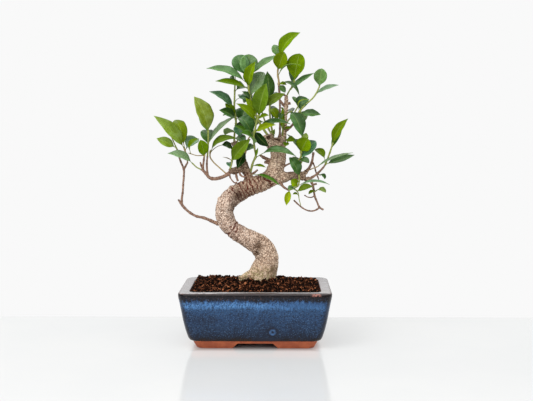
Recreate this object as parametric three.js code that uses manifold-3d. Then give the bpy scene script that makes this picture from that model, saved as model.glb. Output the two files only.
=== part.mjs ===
// A small S-trunk ficus bonsai in a glazed rectangular pot.
// Millimetres, +Z up, +X to the right of the front view, +Y towards the back.
// The origin is the centre of the pot's base, on the surface that it stands on.
import * as THREE from "three";
import { mergeVertices } from "three/addons/utils/BufferGeometryUtils.js";
import Module from "manifold-3d";

const wasm = await Module();
wasm.setup();

// ---------------------------------------------------------------- driving dimensions

const FIT_GAP = 0.35; // between two pieces that touch
const UNDERCUT = 6; // height over which the inside widens under the lip

const POT = {
  length: 150, // outside of the rim, left to right
  depth: 106, // outside of the rim, front to back
  height: 57.8,
  rimRadius: 9, // plan radius of the rim's corners
  lip: 10.6, // width of the flat lip
  lipDrop: 7, // thickness of the lip
  wall: 6.5,
  innerRadius: 4, // plan radius of the corners inside
  shoulder: 12, // height at which the wall starts, over the rounded shoulder
  shoulderInset: 8.6, // from the rim to the wall's lower edge
  footInset: 16.5, // from the rim to the foot's lower edge
  footSlope: 4.2, // how far the foot leans out on its way up
  footTop: 7.9,
  footWall: 9,
  floorTop: 15,
  recessTop: 6.8, // underside of the floor
};
const ARCH = { bottom: 45.6, top: 35.4, height: 5.3, round: 1.6 };
const DRAIN = { x: 28, radius: 6, netSize: 16, netThickness: 0.9, bar: 1.3, meshes: 2 };
const SOIL = {
  front: 57.4, // height of the bed at the front edge
  back: 59.5, // and at the back edge
  tilt: 0.012, // fall from left to right along the back
  moundX: 7,
  moundY: 4,
  mound: 7.4, // rise round the trunk
  spreadX: 26,
  spreadY: 17,
  crumb: 0.35, // height of the crumbs
  chamfer: 1.6, // from the lip down to where the bed meets the pot
};

const BLADE_THICKNESS = 0.7;
const PETIOLE_WIDTH = 1.1;
const PETIOLE_ROOT = 0.62; // where it is sunk in its stem
const PETIOLE_SHARE = 0.14; // part of a leaf's length that is its stalk
const FOLD = THREE.MathUtils.degToRad(17); // rise of each half blade off the midrib
const EDGE_ON = 0.62; // least share of its width that a turned blade shows
const SMALL_LEAF = 20; // a leaf shorter than this gets fewer stations
const LEAF_STATIONS = [0.04, 0.32, 0.7, 1];
const SMALL_LEAF_STATIONS = [0.08, 0.5, 1];
const STEM_SIDES = 5;
const TWIG_SIDES = 5;
const LIMB_SIDES = 6;
const ROOT_SIDES = 6;
const TRUNK_SIDES = 14;

// ---------------------------------------------------------------- wood, as [x, y, z, radius]

const TRUNK_LINE = [
  [6, 4, 52, 14.8],
  [6, 4, 61, 15.4],
  [6.8, 4, 68, 14.8],
  [9, 3.5, 74, 13.6],
  [11, 3, 80, 12.8],
  [11.4, 2.5, 86, 12.2],
  [9, 2, 92.5, 11.7],
  [3.5, 1, 98.5, 11],
  [-4.5, 0, 103.8, 10.2],
  [-14, -1, 109, 9.3],
  [-23.5, -2, 115.5, 8.8],
  [-30, -2, 123.5, 9.3],
  [-32, -2, 132.5, 9.6],
  [-30, -2, 141.5, 9.8],
  [-24, -1, 149, 10],
  [-15, 0, 154.8, 9.6],
  [-4, 0, 159.6, 9.4],
  [6.5, 0, 163.6, 9],
  [15.5, 0, 169, 9.2],
  [20.5, 0, 178, 8.9],
  [22.6, 0, 188, 8.3],
  [22, 0, 198, 8.1],
  [20.6, 0, 205, 7.8],
  [20.4, 0, 209.5, 6.8],
];

const SURFACE_ROOTS = [
  [[2, 2, 70, 7], [-6, -1, 68.6, 4.8], [-12.5, -4.5, 66.6, 3.4], [-16.5, -8, 65.2, 2.7]],
  [[8, -1, 64, 7], [8, -11, 58.5, 4.4], [6, -19, 52, 2.6]],
  [[14, 2, 64, 7], [21, -1, 60.5, 3.8], [29, -4, 54, 2.4]],
  [[12, 8, 66, 7], [16, 15, 62.4, 4.4], [20, 22, 56.5, 2.8]],
  [[2, 8, 66, 7], [-3, 15, 62.4, 4], [-8, 22, 56.5, 2.6]],
];

const LIMBS = [
  // the cut leader beside the trunk's top
  [[18, 1, 198, 6], [14, -0.5, 206.5, 5.4], [11.8, -1.5, 212.6, 4.9]],
  // left limb: a knobbed stump, with a cut end to the left
  [[-5, 0, 160, 6], [-8.5, -0.5, 171, 4.7], [-10.8, -1, 178, 4.2], [-12.8, -1, 184.5, 3.3]],
  [[-10, -1, 175, 3.6], [-17, -1, 177.6, 3.8], [-22.5, -1.5, 175.4, 3.4], [-27.8, -2, 176.2, 3]],
  // limb that climbs to the back left, and its cut end
  [[-12, -0.5, 181, 3.2], [-15, 6, 190, 3], [-19.5, 9.5, 198.5, 3], [-23, 11, 205, 2.9]],
  // right limb
  [[14, 0, 166, 6.5], [27, -1, 169, 6], [34, -2, 170.4, 4.9], [41, -2, 171, 4], [46.5, -2, 171.6, 3.5],
    [50.4, -1, 173.6, 2.5], [52, 0, 175.6, 1.9]],
  [[42, -2, 169.6, 2.8], [50, -3, 167.6, 2], [56, -3, 167.4, 1.8]],
  // stem that climbs from the trunk's top
  [[24.5, 0, 198, 5], [27.4, 1, 207, 3.3], [28.8, 1, 216, 2.3], [29.3, 1, 226, 2], [30.3, 1, 236, 1.9],
    [31, 1, 245, 1.9], [31, 0, 252, 1.6]],
];

const TWIGS = [
  // long drooping twig on the left, its bare spur and its fork
  [[-36, -2, 121.5, 3], [-41.5, -2, 122.4, 2], [-48, -1.5, 125.2, 1.7], [-54, -1, 127.4, 1.5],
    [-62, -1, 129.3, 1.4], [-70.5, 0, 134.6, 1.4], [-76, 0, 140.6, 1.5], [-79.8, 0, 146.2, 0.9]],
  [[-75.8, 0, 140.5, 1.2], [-76.2, 0, 146, 1.2], [-75.1, 0, 154, 1.1], [-74.6, 0, 162, 1.1],
    [-73.9, 0, 170, 1.1], [-73.9, 0, 177, 1.2], [-77, 0, 185, 1], [-79.3, 0, 192, 0.95],
    [-80.8, 0, 198, 0.9]],
  [[-73.9, 0, 176, 1], [-72, 0, 180.4, 1], [-69.8, 0, 184.2, 0.95]],
  // branch that leaves the left stump
  [[-26, -2, 174.6, 2.2], [-31, -2, 170.8, 1.9], [-37, -1.5, 168.4, 1.8], [-43, -1, 167.4, 1.8],
    [-47.5, -1, 168.6, 1.8], [-51, -1, 172.6, 1.6], [-54.4, -1, 176.2, 1.5], [-56.4, -1, 176.9, 0.9]],
  [[-49, -1, 170, 1.3], [-50, -0.5, 176, 1.1], [-50.2, 0, 184, 1.05], [-49.6, 0, 190.3, 1]],
  [[-53.8, -1, 175.6, 1.3], [-54, -2, 180, 1.2], [-53.3, -2.6, 185, 1.1], [-52.7, -3, 190, 0.95]],
  [[-54.2, -1, 177, 1], [-55.8, -0.5, 180.4, 0.95], [-57, 0, 184.4, 0.85]],
  // thin twigs under the left stump
  [[-26.6, -2.5, 174, 1], [-26.4, -3.4, 169.5, 0.75], [-24, -3.8, 165.6, 0.7], [-21.4, -3.6, 163.4, 0.7],
    [-19, -3.2, 163.8, 0.9]],
  [[-20.5, -1, 174, 1.4], [-19.8, -2, 169.6, 1.15], [-18.4, -2.6, 165.2, 1.2]],
  [[-17, -2, 175, 1.2], [-15.6, -4, 171.4, 0.95], [-12.4, -4.8, 169.6, 0.9], [-9.4, -4, 170, 1]],
  [[-5.4, -1, 172, 1.4], [-1.4, -2.4, 174, 1.1], [1.8, -3, 176.8, 0.9]],
  // dark snags on the left of the upper trunk
  [[18, 0, 185, 2.4], [12.6, -2.6, 187, 1.9], [8, -4, 189.3, 1.7], [4.2, -5, 191.8, 1.2]],
  [[18, 0, 182.6, 2.2], [12.4, -2.4, 184, 1.7], [8.6, -3, 184.6, 1.4]],
  // twig that feeds the shoots low on the right
  [[24, -3, 165.5, 2], [27.6, -6, 160, 1.3], [31, -7.4, 157.6, 1.1], [34, -8.2, 156.4, 0.95]],
  [[26, -2, 179.4, 1.6], [31, -3.4, 181.6, 1], [36, -4, 183.8, 0.9], [42, -4, 185.4, 0.85]],
  // twigs off the right limb
  [[49.6, -1, 173, 1.8], [54, 0.5, 178, 1.5], [57, 1, 184, 1.35], [58.1, 1, 190, 1.25],
    [58.7, 1, 194.6, 1.1]],
  [[54.6, -3, 167.6, 1.5], [60, -2.4, 170.8, 1.2], [65, -1.2, 175, 1.1], [69, -0.2, 179.4, 1],
    [70.8, 0, 182, 0.95]],
  [[57.2, 1.6, 186, 1], [59.9, 3.6, 180, 0.8], [61.5, 4, 174, 0.8], [64.4, 4, 166.6, 0.75]],
  [[55, -3, 167.4, 1.5], [57.6, -3.8, 162, 1.3], [58.8, -4, 157, 1.2], [60, -4, 150, 1.1],
    [62.4, -4, 144, 1], [65, -4, 138.4, 1], [69, -4, 136, 1]],
  [[58, -3.8, 161.6, 1.1], [62, -4, 162.6, 1.1]],
  [[65, -4, 138.6, 0.9], [62, -4, 136.2, 0.85], [58, -4, 134.8, 0.85], [53, -4, 135.2, 0.8],
    [48, -4, 137.6, 0.8], [43, -4, 141.6, 0.8], [38.6, -4, 145.8, 0.85]],
  [[60, -4, 150.6, 0.8], [57, -4.4, 148.8, 0.6], [53, -4.8, 149, 0.6], [49.4, -5, 151, 0.55]],
  // snags and twigs on the climbing stem
  [[31, 1, 243.4, 1.5], [35.2, 0.6, 244.4, 1.3]],
  [[30.4, 1, 239.6, 1.5], [27.4, 0.4, 243.2, 1.3], [24.9, 0, 247, 1.1]],
  [[31, 0.4, 250, 1.2], [29.6, 0.6, 252.3, 0.95], [26.8, 0.4, 252.6, 0.85], [24.6, -0.4, 250.6, 0.8]],
  [[29, 1, 215.6, 1.7], [33.6, -2.4, 218.8, 1.3], [38.4, -4.8, 223.8, 1.15], [42, -6.2, 231, 1.05],
    [43.8, -7, 235.4, 1]],
  // slim stem that carries the crown's tip
  [[23.2, -1, 207, 2], [24.3, -1.4, 213, 1.2], [24.4, -1.4, 222, 0.95], [24.2, -1.2, 232, 0.95],
    [24.4, -0.6, 242, 0.95], [24, 0, 251, 1.2], [23.5, 0, 262, 1.25]],
];

// ---------------------------------------------------------------- leafy shoots
// stems: lines of [x, y, z, radius]; the first one starts just off the wood.
// leaves: [stem, share along it, tip x, y, z, width seen from the front, face, arch, stalk share].
// face turns the upper face from the front (0) through the sky (90) to the back (180).

const SHOOTS = {
  shoot_far_left: {
    stems: [[[-69.9, 0, 183.4, 0.7], [-71, 1, 191, 0.7], [-73, 1, 197.5, 0.7]]],
    leaves: [
      [0, 1, -102.6, -6, 231.4, 14, 32, 0.1],
      [0, 1, -85, 6, 226.6, 12.5, 30, 0.24],
      [0, 0.92, -60.5, 16, 209.6, 14, 62, 0.08],
    ],
  },
  shoot_left_fork: {
    stems: [[[-80.8, 0, 197.6, 0.75], [-83.6, 0, 204, 0.6], [-86.3, 0, 209.8, 0.4]]],
    leaves: [
      [0, 0.1, -101, -4, 208.6, 9, 20, 0.1],
      [0, 0.7, -90, 17, 220, 8, 30, 0.12],
    ],
  },
  shoot_left_low: {
    stems: [[[-55.6, -1, 176.8, 0.75], [-60.5, -2, 179.2, 0.65], [-64, -3, 182.6, 0.65]]],
    leaves: [[0, 1, -91, -7, 193.2, 11, 48, 0.22]],
  },
  shoot_left_tall: {
    stems: [[[-49.6, 0, 189.8, 0.9], [-49, -0.5, 199, 0.85], [-48.6, -1, 208, 0.8],
      [-48.5, -1, 215.5, 0.75]]],
    leaves: [
      [0, 1, -62.5, -5, 250.9, 18, 12, 0.1],
      [0, 0.4, -50.5, 12, 217, 13, 22, 0.12],
      [0, 0.62, -24.5, 3, 231, 6.5, 78, 0.08],
      [0, 0.85, -56, 20, 238, 11, 20, 0.12],
    ],
  },
  shoot_left_front: {
    stems: [
      [[-52.8, -3, 189.4, 0.75], [-52.2, -3.8, 191.9, 0.7], [-51.8, -4.2, 193, 0.6]],
      [[-52.3, -3.7, 191.5, 0.6], [-60, -5, 191.3, 0.45], [-66.3, -6, 193.2, 0.45]],
    ],
    leaves: [
      [0, 1, -57, -8, 205.7, 9.5, 10, 0.06],
      [0, 0.5, -59.2, -2, 199.6, 2.4, 0, 0.04],
      [1, 1, -57.3, -9, 208.4, 7, 55, 0.26],
    ],
  },
  shoot_left_arching: {
    stems: [[[-29.6, -1.8, 172, 0.7], [-38, 1.6, 179.2, 0.7], [-44, 4, 184.6, 0.7], [-47.2, 5, 189.5, 0.75],
      [-47.2, 5, 194, 0.7]]],
    leaves: [
      [0, 1, -18.8, -4, 208.6, 9, 48, 0.3],
      [0, 0.97, -25.2, 14, 196.2, 8, 60, 0.42],
    ],
  },
  shoot_left_stump: {
    stems: [[[-26.6, -3, 176.6, 0.85], [-24.4, -6, 183.4, 0.8], [-24, -7, 188, 0.8],
      [-23.3, -8, 192, 0.75]]],
    leaves: [
      [0, 1, -6.8, -15, 206.4, 15, 25, 0.14],
      [0, 0.1, -27.6, 4, 184, 6, 20, 0.1],
      [0, 0.6, -33, -17, 190, 0.9, 40, 0.1],
    ],
  },
  shoot_centre_low: {
    stems: [[[-12.6, -1.6, 182.6, 1], [-11, -4.6, 193, 0.9], [-9.8, -5.2, 199, 0.8], [-8.5, -6, 206, 0.75],
      [-5.2, -7.4, 212, 0.7]]],
    leaves: [
      [0, 0.2, -19.6, -9, 181.4, 8.5, 15, 0.12],
      [0, 0.98, -21, -13, 222, 5.5, 40, 0.05],
      [0, 0.6, -20.6, 7, 209.4, 7, 60, 0.14],
      [0, 0.4, -2, 6, 201, 6, 40, 0.12],
    ],
  },
  shoot_back_left: {
    stems: [[[-22.8, 11, 204, 1.1], [-22.3, 11, 214, 1], [-20.8, 10.4, 225, 1], [-22.3, 8.6, 238, 0.95],
      [-22, 7, 252, 0.9], [-21.6, 6, 264, 0.75], [-21.3, 6, 270, 0.5]]],
    leaves: [
      [0, 0.3, -15.6, 0, 211, 9.5, 18, 0.1],
      [0, 0.3, -11.5, 4, 220, 8, 35, 0.12],
      [0, 0.37, -4.8, -2, 214, 9.5, 50, 0.32],
      [0, 0.4, -31.5, 2, 244.4, 9.5, 12, 0.1],
      [0, 0.56, -47.6, 2, 256.2, 9, 48, 0.2],
      [0, 0.62, -10, 2, 250, 4, 45, 0.22, 0.55],
      [0, 0.97, -26.5, 8, 271.6, 4, 30, 0.1],
      [0, 0.8, -34, 28, 262, 9, 40, 0.14],
      [0, 0.48, -30, 32, 234, 10, 40, 0.14],
    ],
  },
  shoot_centre_top: {
    stems: [[[12, -0.4, 212, 1.3], [5, 4, 222, 1.2], [-1.5, 5, 235, 1.1], [-5.5, 4, 247, 1.1],
      [-7.3, 3, 258, 1.05], [-7.5, 2, 266, 0.95], [-7, 1, 272.5, 0.8]]],
    leaves: [
      [0, 0.77, -41, -7, 266.8, 8.5, 48, 0.18],
      [0, 0.88, -50, -2, 279.4, 9, 48, 0.17],
      [0, 0.84, -19, 9, 293.6, 18, 8, 0.05, 0.36],
      [0, 0.9, -6, 9, 294.6, 14, 8, 0.05, 0.28],
      [0, 0.96, -1.4, -4, 286.6, 11, 15, 0.08],
      [0, 1, 24, -3, 292.2, 6, 72, 0.15],
      [0, 0.64, 9.5, 14, 276.4, 15, 28, 0.1],
      [0, 0.62, -14, -4, 256, 4.5, 40, 0.1],
      [0, 0.56, -13.2, -6, 250.6, 3.5, 50, 0.1],
      [0, 0.7, -2, 30, 268, 11, 35, 0.14],
      [0, 0.5, -16, 26, 254, 10, 45, 0.14],
    ],
  },
  shoot_front_centre: {
    stems: [[[-6, 0, 172, 1.2], [-3, -6, 184, 1.1], [0, -8.6, 191, 1.05], [-1.2, -10.6, 199, 1],
      [-1.8, -12, 207, 1], [-0.8, -13, 215, 1], [0.5, -14, 223, 0.95], [3, -15, 231.5, 0.9]]],
    leaves: [
      [0, 1, 9, -23, 262.4, 17, 10, 0.06],
      [0, 0.88, -18.6, -20, 243.6, 9, 28, 0.14],
      [0, 0.97, -10, -13, 249.6, 8, 10, 0.06],
      [0, 1, 33, -17, 251.2, 10, 35, 0.16, 0.32],
      [0, 0.92, 13.4, -26, 231.6, 4.5, 50, 0.08],
      [0, 0.71, 20, -31, 221.8, 8.5, 30, 0.1],
      [0, 0.75, 35, -21, 223, 6.5, 62, 0.14],
      [0, 0.7, 12.6, -21, 201.6, 9.5, 15, 0.1],
      [0, 0.3, 39.4, -19, 190.6, 9.5, 52, 0.2, 0.25],
      [0, 0.32, 2.4, -14, 199.6, 2.6, 10, 0.05],
      [0, 0.14, 9.6, -13, 180.4, 3.6, 60, 0.1],
      [0, 0.12, 22.4, -15, 162.6, 4.4, 55, 0.16, 0.25],
      [0, 0.5, -14, -32, 214, 8, 55, 0.14],
    ],
  },
  shoot_centre_back: {
    stems: [[[18, 3, 210.6, 1.1], [15.4, 6, 222, 1], [14, 6.6, 235, 0.95], [14, 6, 246, 0.9]]],
    leaves: [
      [0, 1, 11, 0, 277, 12.5, 14, 0.08],
      [0, 0.7, 21.2, -4, 226.8, 5.5, 45, 0.28],
      [0, 0.1, 19.4, -11, 212.6, 3.2, 50, 0.2],
      [0, 0.75, 16, 34, 256, 12, 40, 0.14],
      [0, 0.45, 24, 30, 238, 11, 45, 0.14],
    ],
  },
  shoot_crown: {
    stems: [[[23.5, 0, 261.6, 1.1], [23.2, 0, 267, 0.95], [22.2, 0, 273, 0.9], [22.3, 0, 278, 0.8],
      [24, 0.4, 286, 0.75], [24.8, 0, 294.5, 0.6]]],
    leaves: [
      [0, 1, 44.4, -3, 315.8, 11.5, 28, 0.2, 0.06],
      [0, 0.5, 30, -8, 295, 15, 10, 0.05, 0.06],
      [0, 0.76, 18, 7, 304.4, 9.5, 14, 0.05, 0.3],
      [0, 0.3, 45.4, -17, 281, 2.8, 75, 0.2, 0.1],
      [0, 0.08, 44, -8, 251.6, 5, 68, 0.24, 0.08],
      [0, 0.07, 31, -5, 262.6, 3.6, 35, 0.15],
      [0, 0.06, 29.8, -6, 254.8, 6, 10, 0.1, 0.2],
      [0, 0.6, 24, 24, 290, 10, 40, 0.14],
    ],
  },
  shoot_crown_right: {
    stems: [[[31, 0, 251, 0.8], [34, -1, 257, 0.75], [36.6, -2, 260.4, 0.75], [38.6, -3, 265, 0.7]]],
    leaves: [
      [0, 1, 44.6, -2, 294.4, 18, 10, 0.05, 0.12],
      [0, 0.72, 59.4, -4, 274.6, 5.5, 68, 0.14, 0.05],
      [0, 0.6, 40, 24, 274, 10, 35, 0.14],
    ],
  },
  shoot_middle: {
    stems: [[[27.4, 0.6, 207.6, 0.8], [27.2, -4.6, 219, 0.7], [28.2, -5, 228, 0.6], [28.4, -5, 235, 0.5]]],
    leaves: [
      [0, 0.2, 27, -8, 240, 4.5, 10, 0.03],
      [0, 0.95, 24.6, -9, 228.6, 3.6, 60, 0.3],
      [0, 0.35, 36, -9, 219, 3.2, 55, 0.1],
    ],
  },
  shoot_right_low_leaf: {
    stems: [[[28.4, 1, 210.8, 0.7], [31.6, -3, 206.6, 0.6], [32.4, -4, 204.6, 0.5]]],
    leaves: [
      [0, 0.6, 39, -15, 206, 6, 35, 0.1],
      [0, 1, 29.8, -8, 201, 4, 50, 0.1],
    ],
  },
  shoot_right_hanging: {
    stems: [[[29.8, 1, 231.6, 0.75], [32.6, -3, 234.4, 0.7], [35.4, -8, 235.6, 0.65]]],
    leaves: [[0, 1, 46.7, -17, 210.8, 13, 22, 0.12, 0.04]],
  },
  shoot_right_top: {
    stems: [[[43.7, -7, 234.8, 0.95], [48, -7.6, 240.5, 0.9], [53.5, -7, 245.5, 0.8], [58.2, -6, 250, 0.8],
      [61.5, -5, 255, 0.75], [64, -4, 260.4, 0.7]]],
    leaves: [
      [0, 1, 66.4, -5, 279, 13.5, 8, 0.05, 0.08],
      [0, 0.8, 83.8, -8, 262.2, 6, 52, 0.1, 0.1],
      [0, 0.04, 48.6, -1, 252, 13, 18, 0.1, 0.08],
      [0, 0.03, 65.4, -11, 235, 8.5, 38, 0.14, 0.12],
      [0, 0.55, 66, 20, 258, 9, 40, 0.14],
    ],
  },
  shoot_right_inner: {
    stems: [[[41.4, -4, 185.2, 0.8], [45.2, -5, 188.6, 0.85], [45.8, -6, 195, 0.8]]],
    leaves: [
      [0, 1, 54, -10, 208.6, 16, 18, 0.1, 0.1],
      [0, 0.75, 61, 5, 205.6, 10, 20, 0.1, 0.2],
      [0, 1, 31.6, -1, 213, 4.4, 68, 0.05, 0.05],
      [0, 0.97, 51.4, 6, 214.2, 7, 12, 0.05, 0.4],
      [0, 0.9, 40.4, 5, 208, 5.5, 40, 0.1, 0.3],
      [0, 0.15, 54, -9, 184, 5, 50, 0.16],
      [0, 0.5, 52, 24, 198, 10, 40, 0.14],
    ],
  },
  shoot_front_low: {
    stems: [
      [[33.4, -8, 156.5, 0.85], [38, -10, 158, 0.8], [42.5, -11, 161, 0.8], [44, -11, 165.5, 0.8],
        [43.8, -11, 171, 0.75]],
      [[38, -10, 158, 0.7], [42, -11, 155.5, 0.6], [43.3, -12, 152, 0.5], [43.8, -12, 148, 0.45],
        [45.6, -12, 141, 0.4]],
    ],
    leaves: [
      [0, 1, 34.2, -16, 189.4, 12, 15, 0.08, 0.05],
      [0, 0.5, 35.6, -17, 167, 8.5, 15, 0.08, 0.1],
      [0, 0.52, 74.4, -15, 162.4, 4.6, 68, 0.12, 0.1],
      [1, 0.25, 57.4, -18, 161.2, 8, 40, 0.08, 0.05],
      [1, 0.2, 32.6, -17, 157.4, 5.5, 66, 0.12],
      [1, 0.5, 37.6, -15, 152.6, 2.6, 60, 0.2],
      [0, 0.05, 31, -12, 141, 6.4, 15, 0.1, 0.1],
    ],
  },
  shoot_right_long: {
    stems: [[[51.6, -0.2, 175.2, 0.6], [57, -3.4, 177.8, 0.55], [61.5, -4.6, 179.6, 0.55]]],
    leaves: [[0, 1, 98, -12, 195.8, 6.5, 72, 0.06, 0.06]],
  },
  shoot_right_tip: {
    stems: [[[70.7, 0, 181.4, 0.85], [73.5, 0, 189, 0.85], [76, 0, 196, 0.85], [78.3, 0, 203.5, 0.8]]],
    leaves: [
      [0, 1, 94.6, -4, 229, 11, 28, 0.12, 0.05],
      [0, 0.08, 60.2, 6, 197.4, 7, 48, 0.25, 0.25],
      [0, 0.07, 101.4, 8, 191, 8, 58, 0.06, 0.1],
      [0, 0.6, 91, 18, 220, 9, 30, 0.12],
    ],
  },
  shoot_right_leaflet: {
    stems: [[[62.4, 4, 171.6, 0.5], [63.4, 3, 172, 0.5], [64.2, 2.6, 171.6, 0.4]]],
    leaves: [[0, 1, 70.4, 1, 167, 3.5, 60, 0.25]],
  },
  shoot_hanging: {
    stems: [[[59.3, -4, 154, 0.5], [61, -5.8, 155.4, 0.5], [61.4, -6.4, 155.8, 0.4]]],
    leaves: [
      [0, 1, 70.8, -9, 154, 3.8, 55, 0.2],
      [0, 0.6, 53.6, -9, 152.2, 3.2, 55, 0.16],
    ],
  },
  shoot_rear_left: {
    stems: [[[-18.6, 9, 196, 1], [-20, 20, 203, 0.9], [-19, 29, 212, 0.8], [-16, 36, 222, 0.7]]],
    leaves: [
      [0, 1, -12, 45, 240, 11, 60, 0.14],
      [0, 0.7, -34, 40, 212, 10, 100, 0.14],
      [0, 0.75, -4, 42, 210, 9, 90, 0.14],
      [0, 0.4, -14, 32, 198, 9, 110, 0.14],
    ],
  },
  shoot_rear_centre: {
    stems: [[[20, 5, 205, 1.1], [15, 15, 214, 1], [9, 24, 226, 0.9], [5, 32, 239, 0.8], [4, 38, 250, 0.7]]],
    leaves: [
      [0, 1, 2, 44, 272, 13, 60, 0.12],
      [0, 0.9, -14, 44, 246, 11, 90, 0.14],
      [0, 0.8, 19, 46, 246, 11, 90, 0.14],
      [0, 0.5, -6, 33, 220, 9, 110, 0.14],
      [0, 0.35, 16, 36, 221, 9, 110, 0.14],
    ],
  },
  shoot_rear_right: {
    stems: [[[29.2, 1.4, 221, 0.9], [33, 11, 227, 0.85], [38, 21, 233, 0.8], [43, 30, 241, 0.7]]],
    leaves: [
      [0, 1, 47, 42, 254, 10, 60, 0.14],
      [0, 0.7, 50, 38, 226, 9, 100, 0.14],
      [0, 0.6, 29, 38, 237, 9, 90, 0.14],
    ],
  },
  shoot_rear_low: {
    stems: [[[40, -1, 171.6, 0.9], [45, 11, 180, 0.85], [48, 20, 186, 0.8], [51, 28, 193, 0.7]]],
    leaves: [
      [0, 1, 55, 38, 205, 10, 60, 0.14],
      [0, 0.7, 41, 36, 181, 8, 100, 0.14],
      [0, 0.4, 37, 22, 186, 8, 100, 0.14],
    ],
  },
};

// ---------------------------------------------------------------- materials

const surface = (color, roughness) => new THREE.MeshStandardMaterial({ color, roughness, metalness: 0 });
const GLAZE = surface("#3f5873", 0.25);
const NET = surface("#25272a", 0.6);
const EARTH = surface("#2c1a10", 0.95);
const BARK = surface("#8a7763", 0.85);
const LEAF = surface("#557d1e", 0.4);

// ---------------------------------------------------------------- solids

const vector = ([x, y, z]) => new THREE.Vector3(x, y, z);

/** A closed skin through rings of points that run anticlockwise round the way they travel. */
function loft(rings, turnDiagonal = () => false) {
  const count = rings[0].length;
  const positions = rings.flat().flatMap((point) => [point.x, point.y, point.z]);
  const faces = [];
  for (let ring = 0; ring + 1 < rings.length; ring++) {
    for (let k = 0; k < count; k++) {
      const next = (k + 1) % count;
      const [a, b] = [ring * count + k, ring * count + next];
      const [c, d] = [a + count, b + count];
      if (turnDiagonal(k)) faces.push(a, b, c, b, d, c);
      else faces.push(a, b, d, a, d, c);
    }
  }
  const last = (rings.length - 1) * count;
  for (let k = 1; k + 1 < count; k++) {
    faces.push(0, k + 1, k);
    faces.push(last, last + k, last + k + 1);
  }
  const geometry = new THREE.BufferGeometry();
  geometry.setAttribute("position", new THREE.Float32BufferAttribute(positions, 3));
  geometry.setIndex(faces);
  return geometry;
}

/** A three.js geometry as a solid that can be joined and cut. */
function solid(geometry) {
  const bare = geometry.clone();
  bare.deleteAttribute("normal");
  bare.deleteAttribute("uv");
  const merged = mergeVertices(bare, 1e-4);
  return new wasm.Manifold(
    new wasm.Mesh({
      numProp: 3,
      vertProperties: new Float32Array(merged.attributes.position.array),
      triVerts: new Uint32Array(merged.index.array),
    }),
  );
}

const joined = (solids) => solids.reduce((whole, piece) => whole.add(piece));

function mesh(name, made, material) {
  const { vertProperties, triVerts } = made.getMesh();
  const geometry = new THREE.BufferGeometry();
  geometry.setAttribute("position", new THREE.Float32BufferAttribute(vertProperties, 3));
  geometry.setIndex(new THREE.BufferAttribute(triVerts, 1));
  geometry.computeVertexNormals();
  const piece = new THREE.Mesh(geometry, material);
  piece.name = name;
  return piece;
}

/** A round bar along a line of [x, y, z, radius], with relief(angle, height) as a share of the radius. */
function bar(line, sides, stepsPerSpan, { grow = 0, relief = () => 0 } = {}) {
  const curve = new THREE.CatmullRomCurve3(line.map(vector), false, "centripetal");
  const spans = line.length - 1;
  const steps = Math.round(spans * stepsPerSpan);
  const across = new THREE.Vector3(0, -1, 0);
  const rings = [];
  for (let step = 0; step <= steps; step++) {
    const share = step / steps;
    const centre = curve.getPoint(share);
    const along = curve.getTangent(share);
    if (step === 0) centre.addScaledVector(along, -grow);
    if (step === steps) centre.addScaledVector(along, grow);
    across.addScaledVector(along, -across.dot(along)).normalize();
    const aside = along.clone().cross(across);
    const span = Math.min(Math.floor(share * spans), spans - 1);
    const radius = THREE.MathUtils.lerp(line[span][3], line[span + 1][3], share * spans - span) + grow;
    rings.push(
      Array.from({ length: sides }, (_, k) => {
        const angle = (2 * Math.PI * k) / sides;
        const reach = radius * (1 + relief(angle, centre));
        return centre
          .clone()
          .addScaledVector(across, reach * Math.cos(angle))
          .addScaledVector(aside, reach * Math.sin(angle));
      }),
    );
  }
  return loft(rings);
}

// ---------------------------------------------------------------- pot

/** A level ring round a rectangle with rounded corners, with more points on its sides if asked. */
function roundedRing(halfX, halfY, radius, z, perCorner = 4, onSides = [0, 0]) {
  const ring = [];
  const corners = [[1, 1], [-1, 1], [-1, -1], [1, -1]];
  const onCorner = ([sideX, sideY], angle) =>
    new THREE.Vector3(
      sideX * (halfX - radius) + radius * Math.cos(angle),
      sideY * (halfY - radius) + radius * Math.sin(angle),
      z,
    );
  corners.forEach((corner, index) => {
    for (let k = 0; k < perCorner; k++) {
      ring.push(onCorner(corner, (Math.PI / 2) * (index + k / (perCorner - 1))));
    }
    const from = ring[ring.length - 1];
    const to = onCorner(corners[(index + 1) % 4], (Math.PI / 2) * (index + 1));
    const between = onSides[index % 2];
    for (let k = 1; k <= between; k++) ring.push(from.clone().lerp(to, k / (between + 1)));
  });
  return ring;
}

/** The pot's rounded rectangle, drawn in from the rim by inset, at height z. */
function potRing(inset, z, radius, ...points) {
  return roundedRing(POT.length / 2 - inset, POT.depth / 2 - inset, radius, z, ...points);
}

/** How far the outer wall stands in from the rim, at a height between the foot and the rim. */
const wallInset = (z) => (POT.shoulderInset * (POT.height - z)) / (POT.height - POT.shoulder);
const INNER_FLOOR_INSET = wallInset(POT.floorTop) + POT.wall;
const LIP_BOTTOM = POT.height - POT.lipDrop;
const UNDER_LIP_INSET = wallInset(LIP_BOTTOM - UNDERCUT) + POT.wall;

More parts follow.
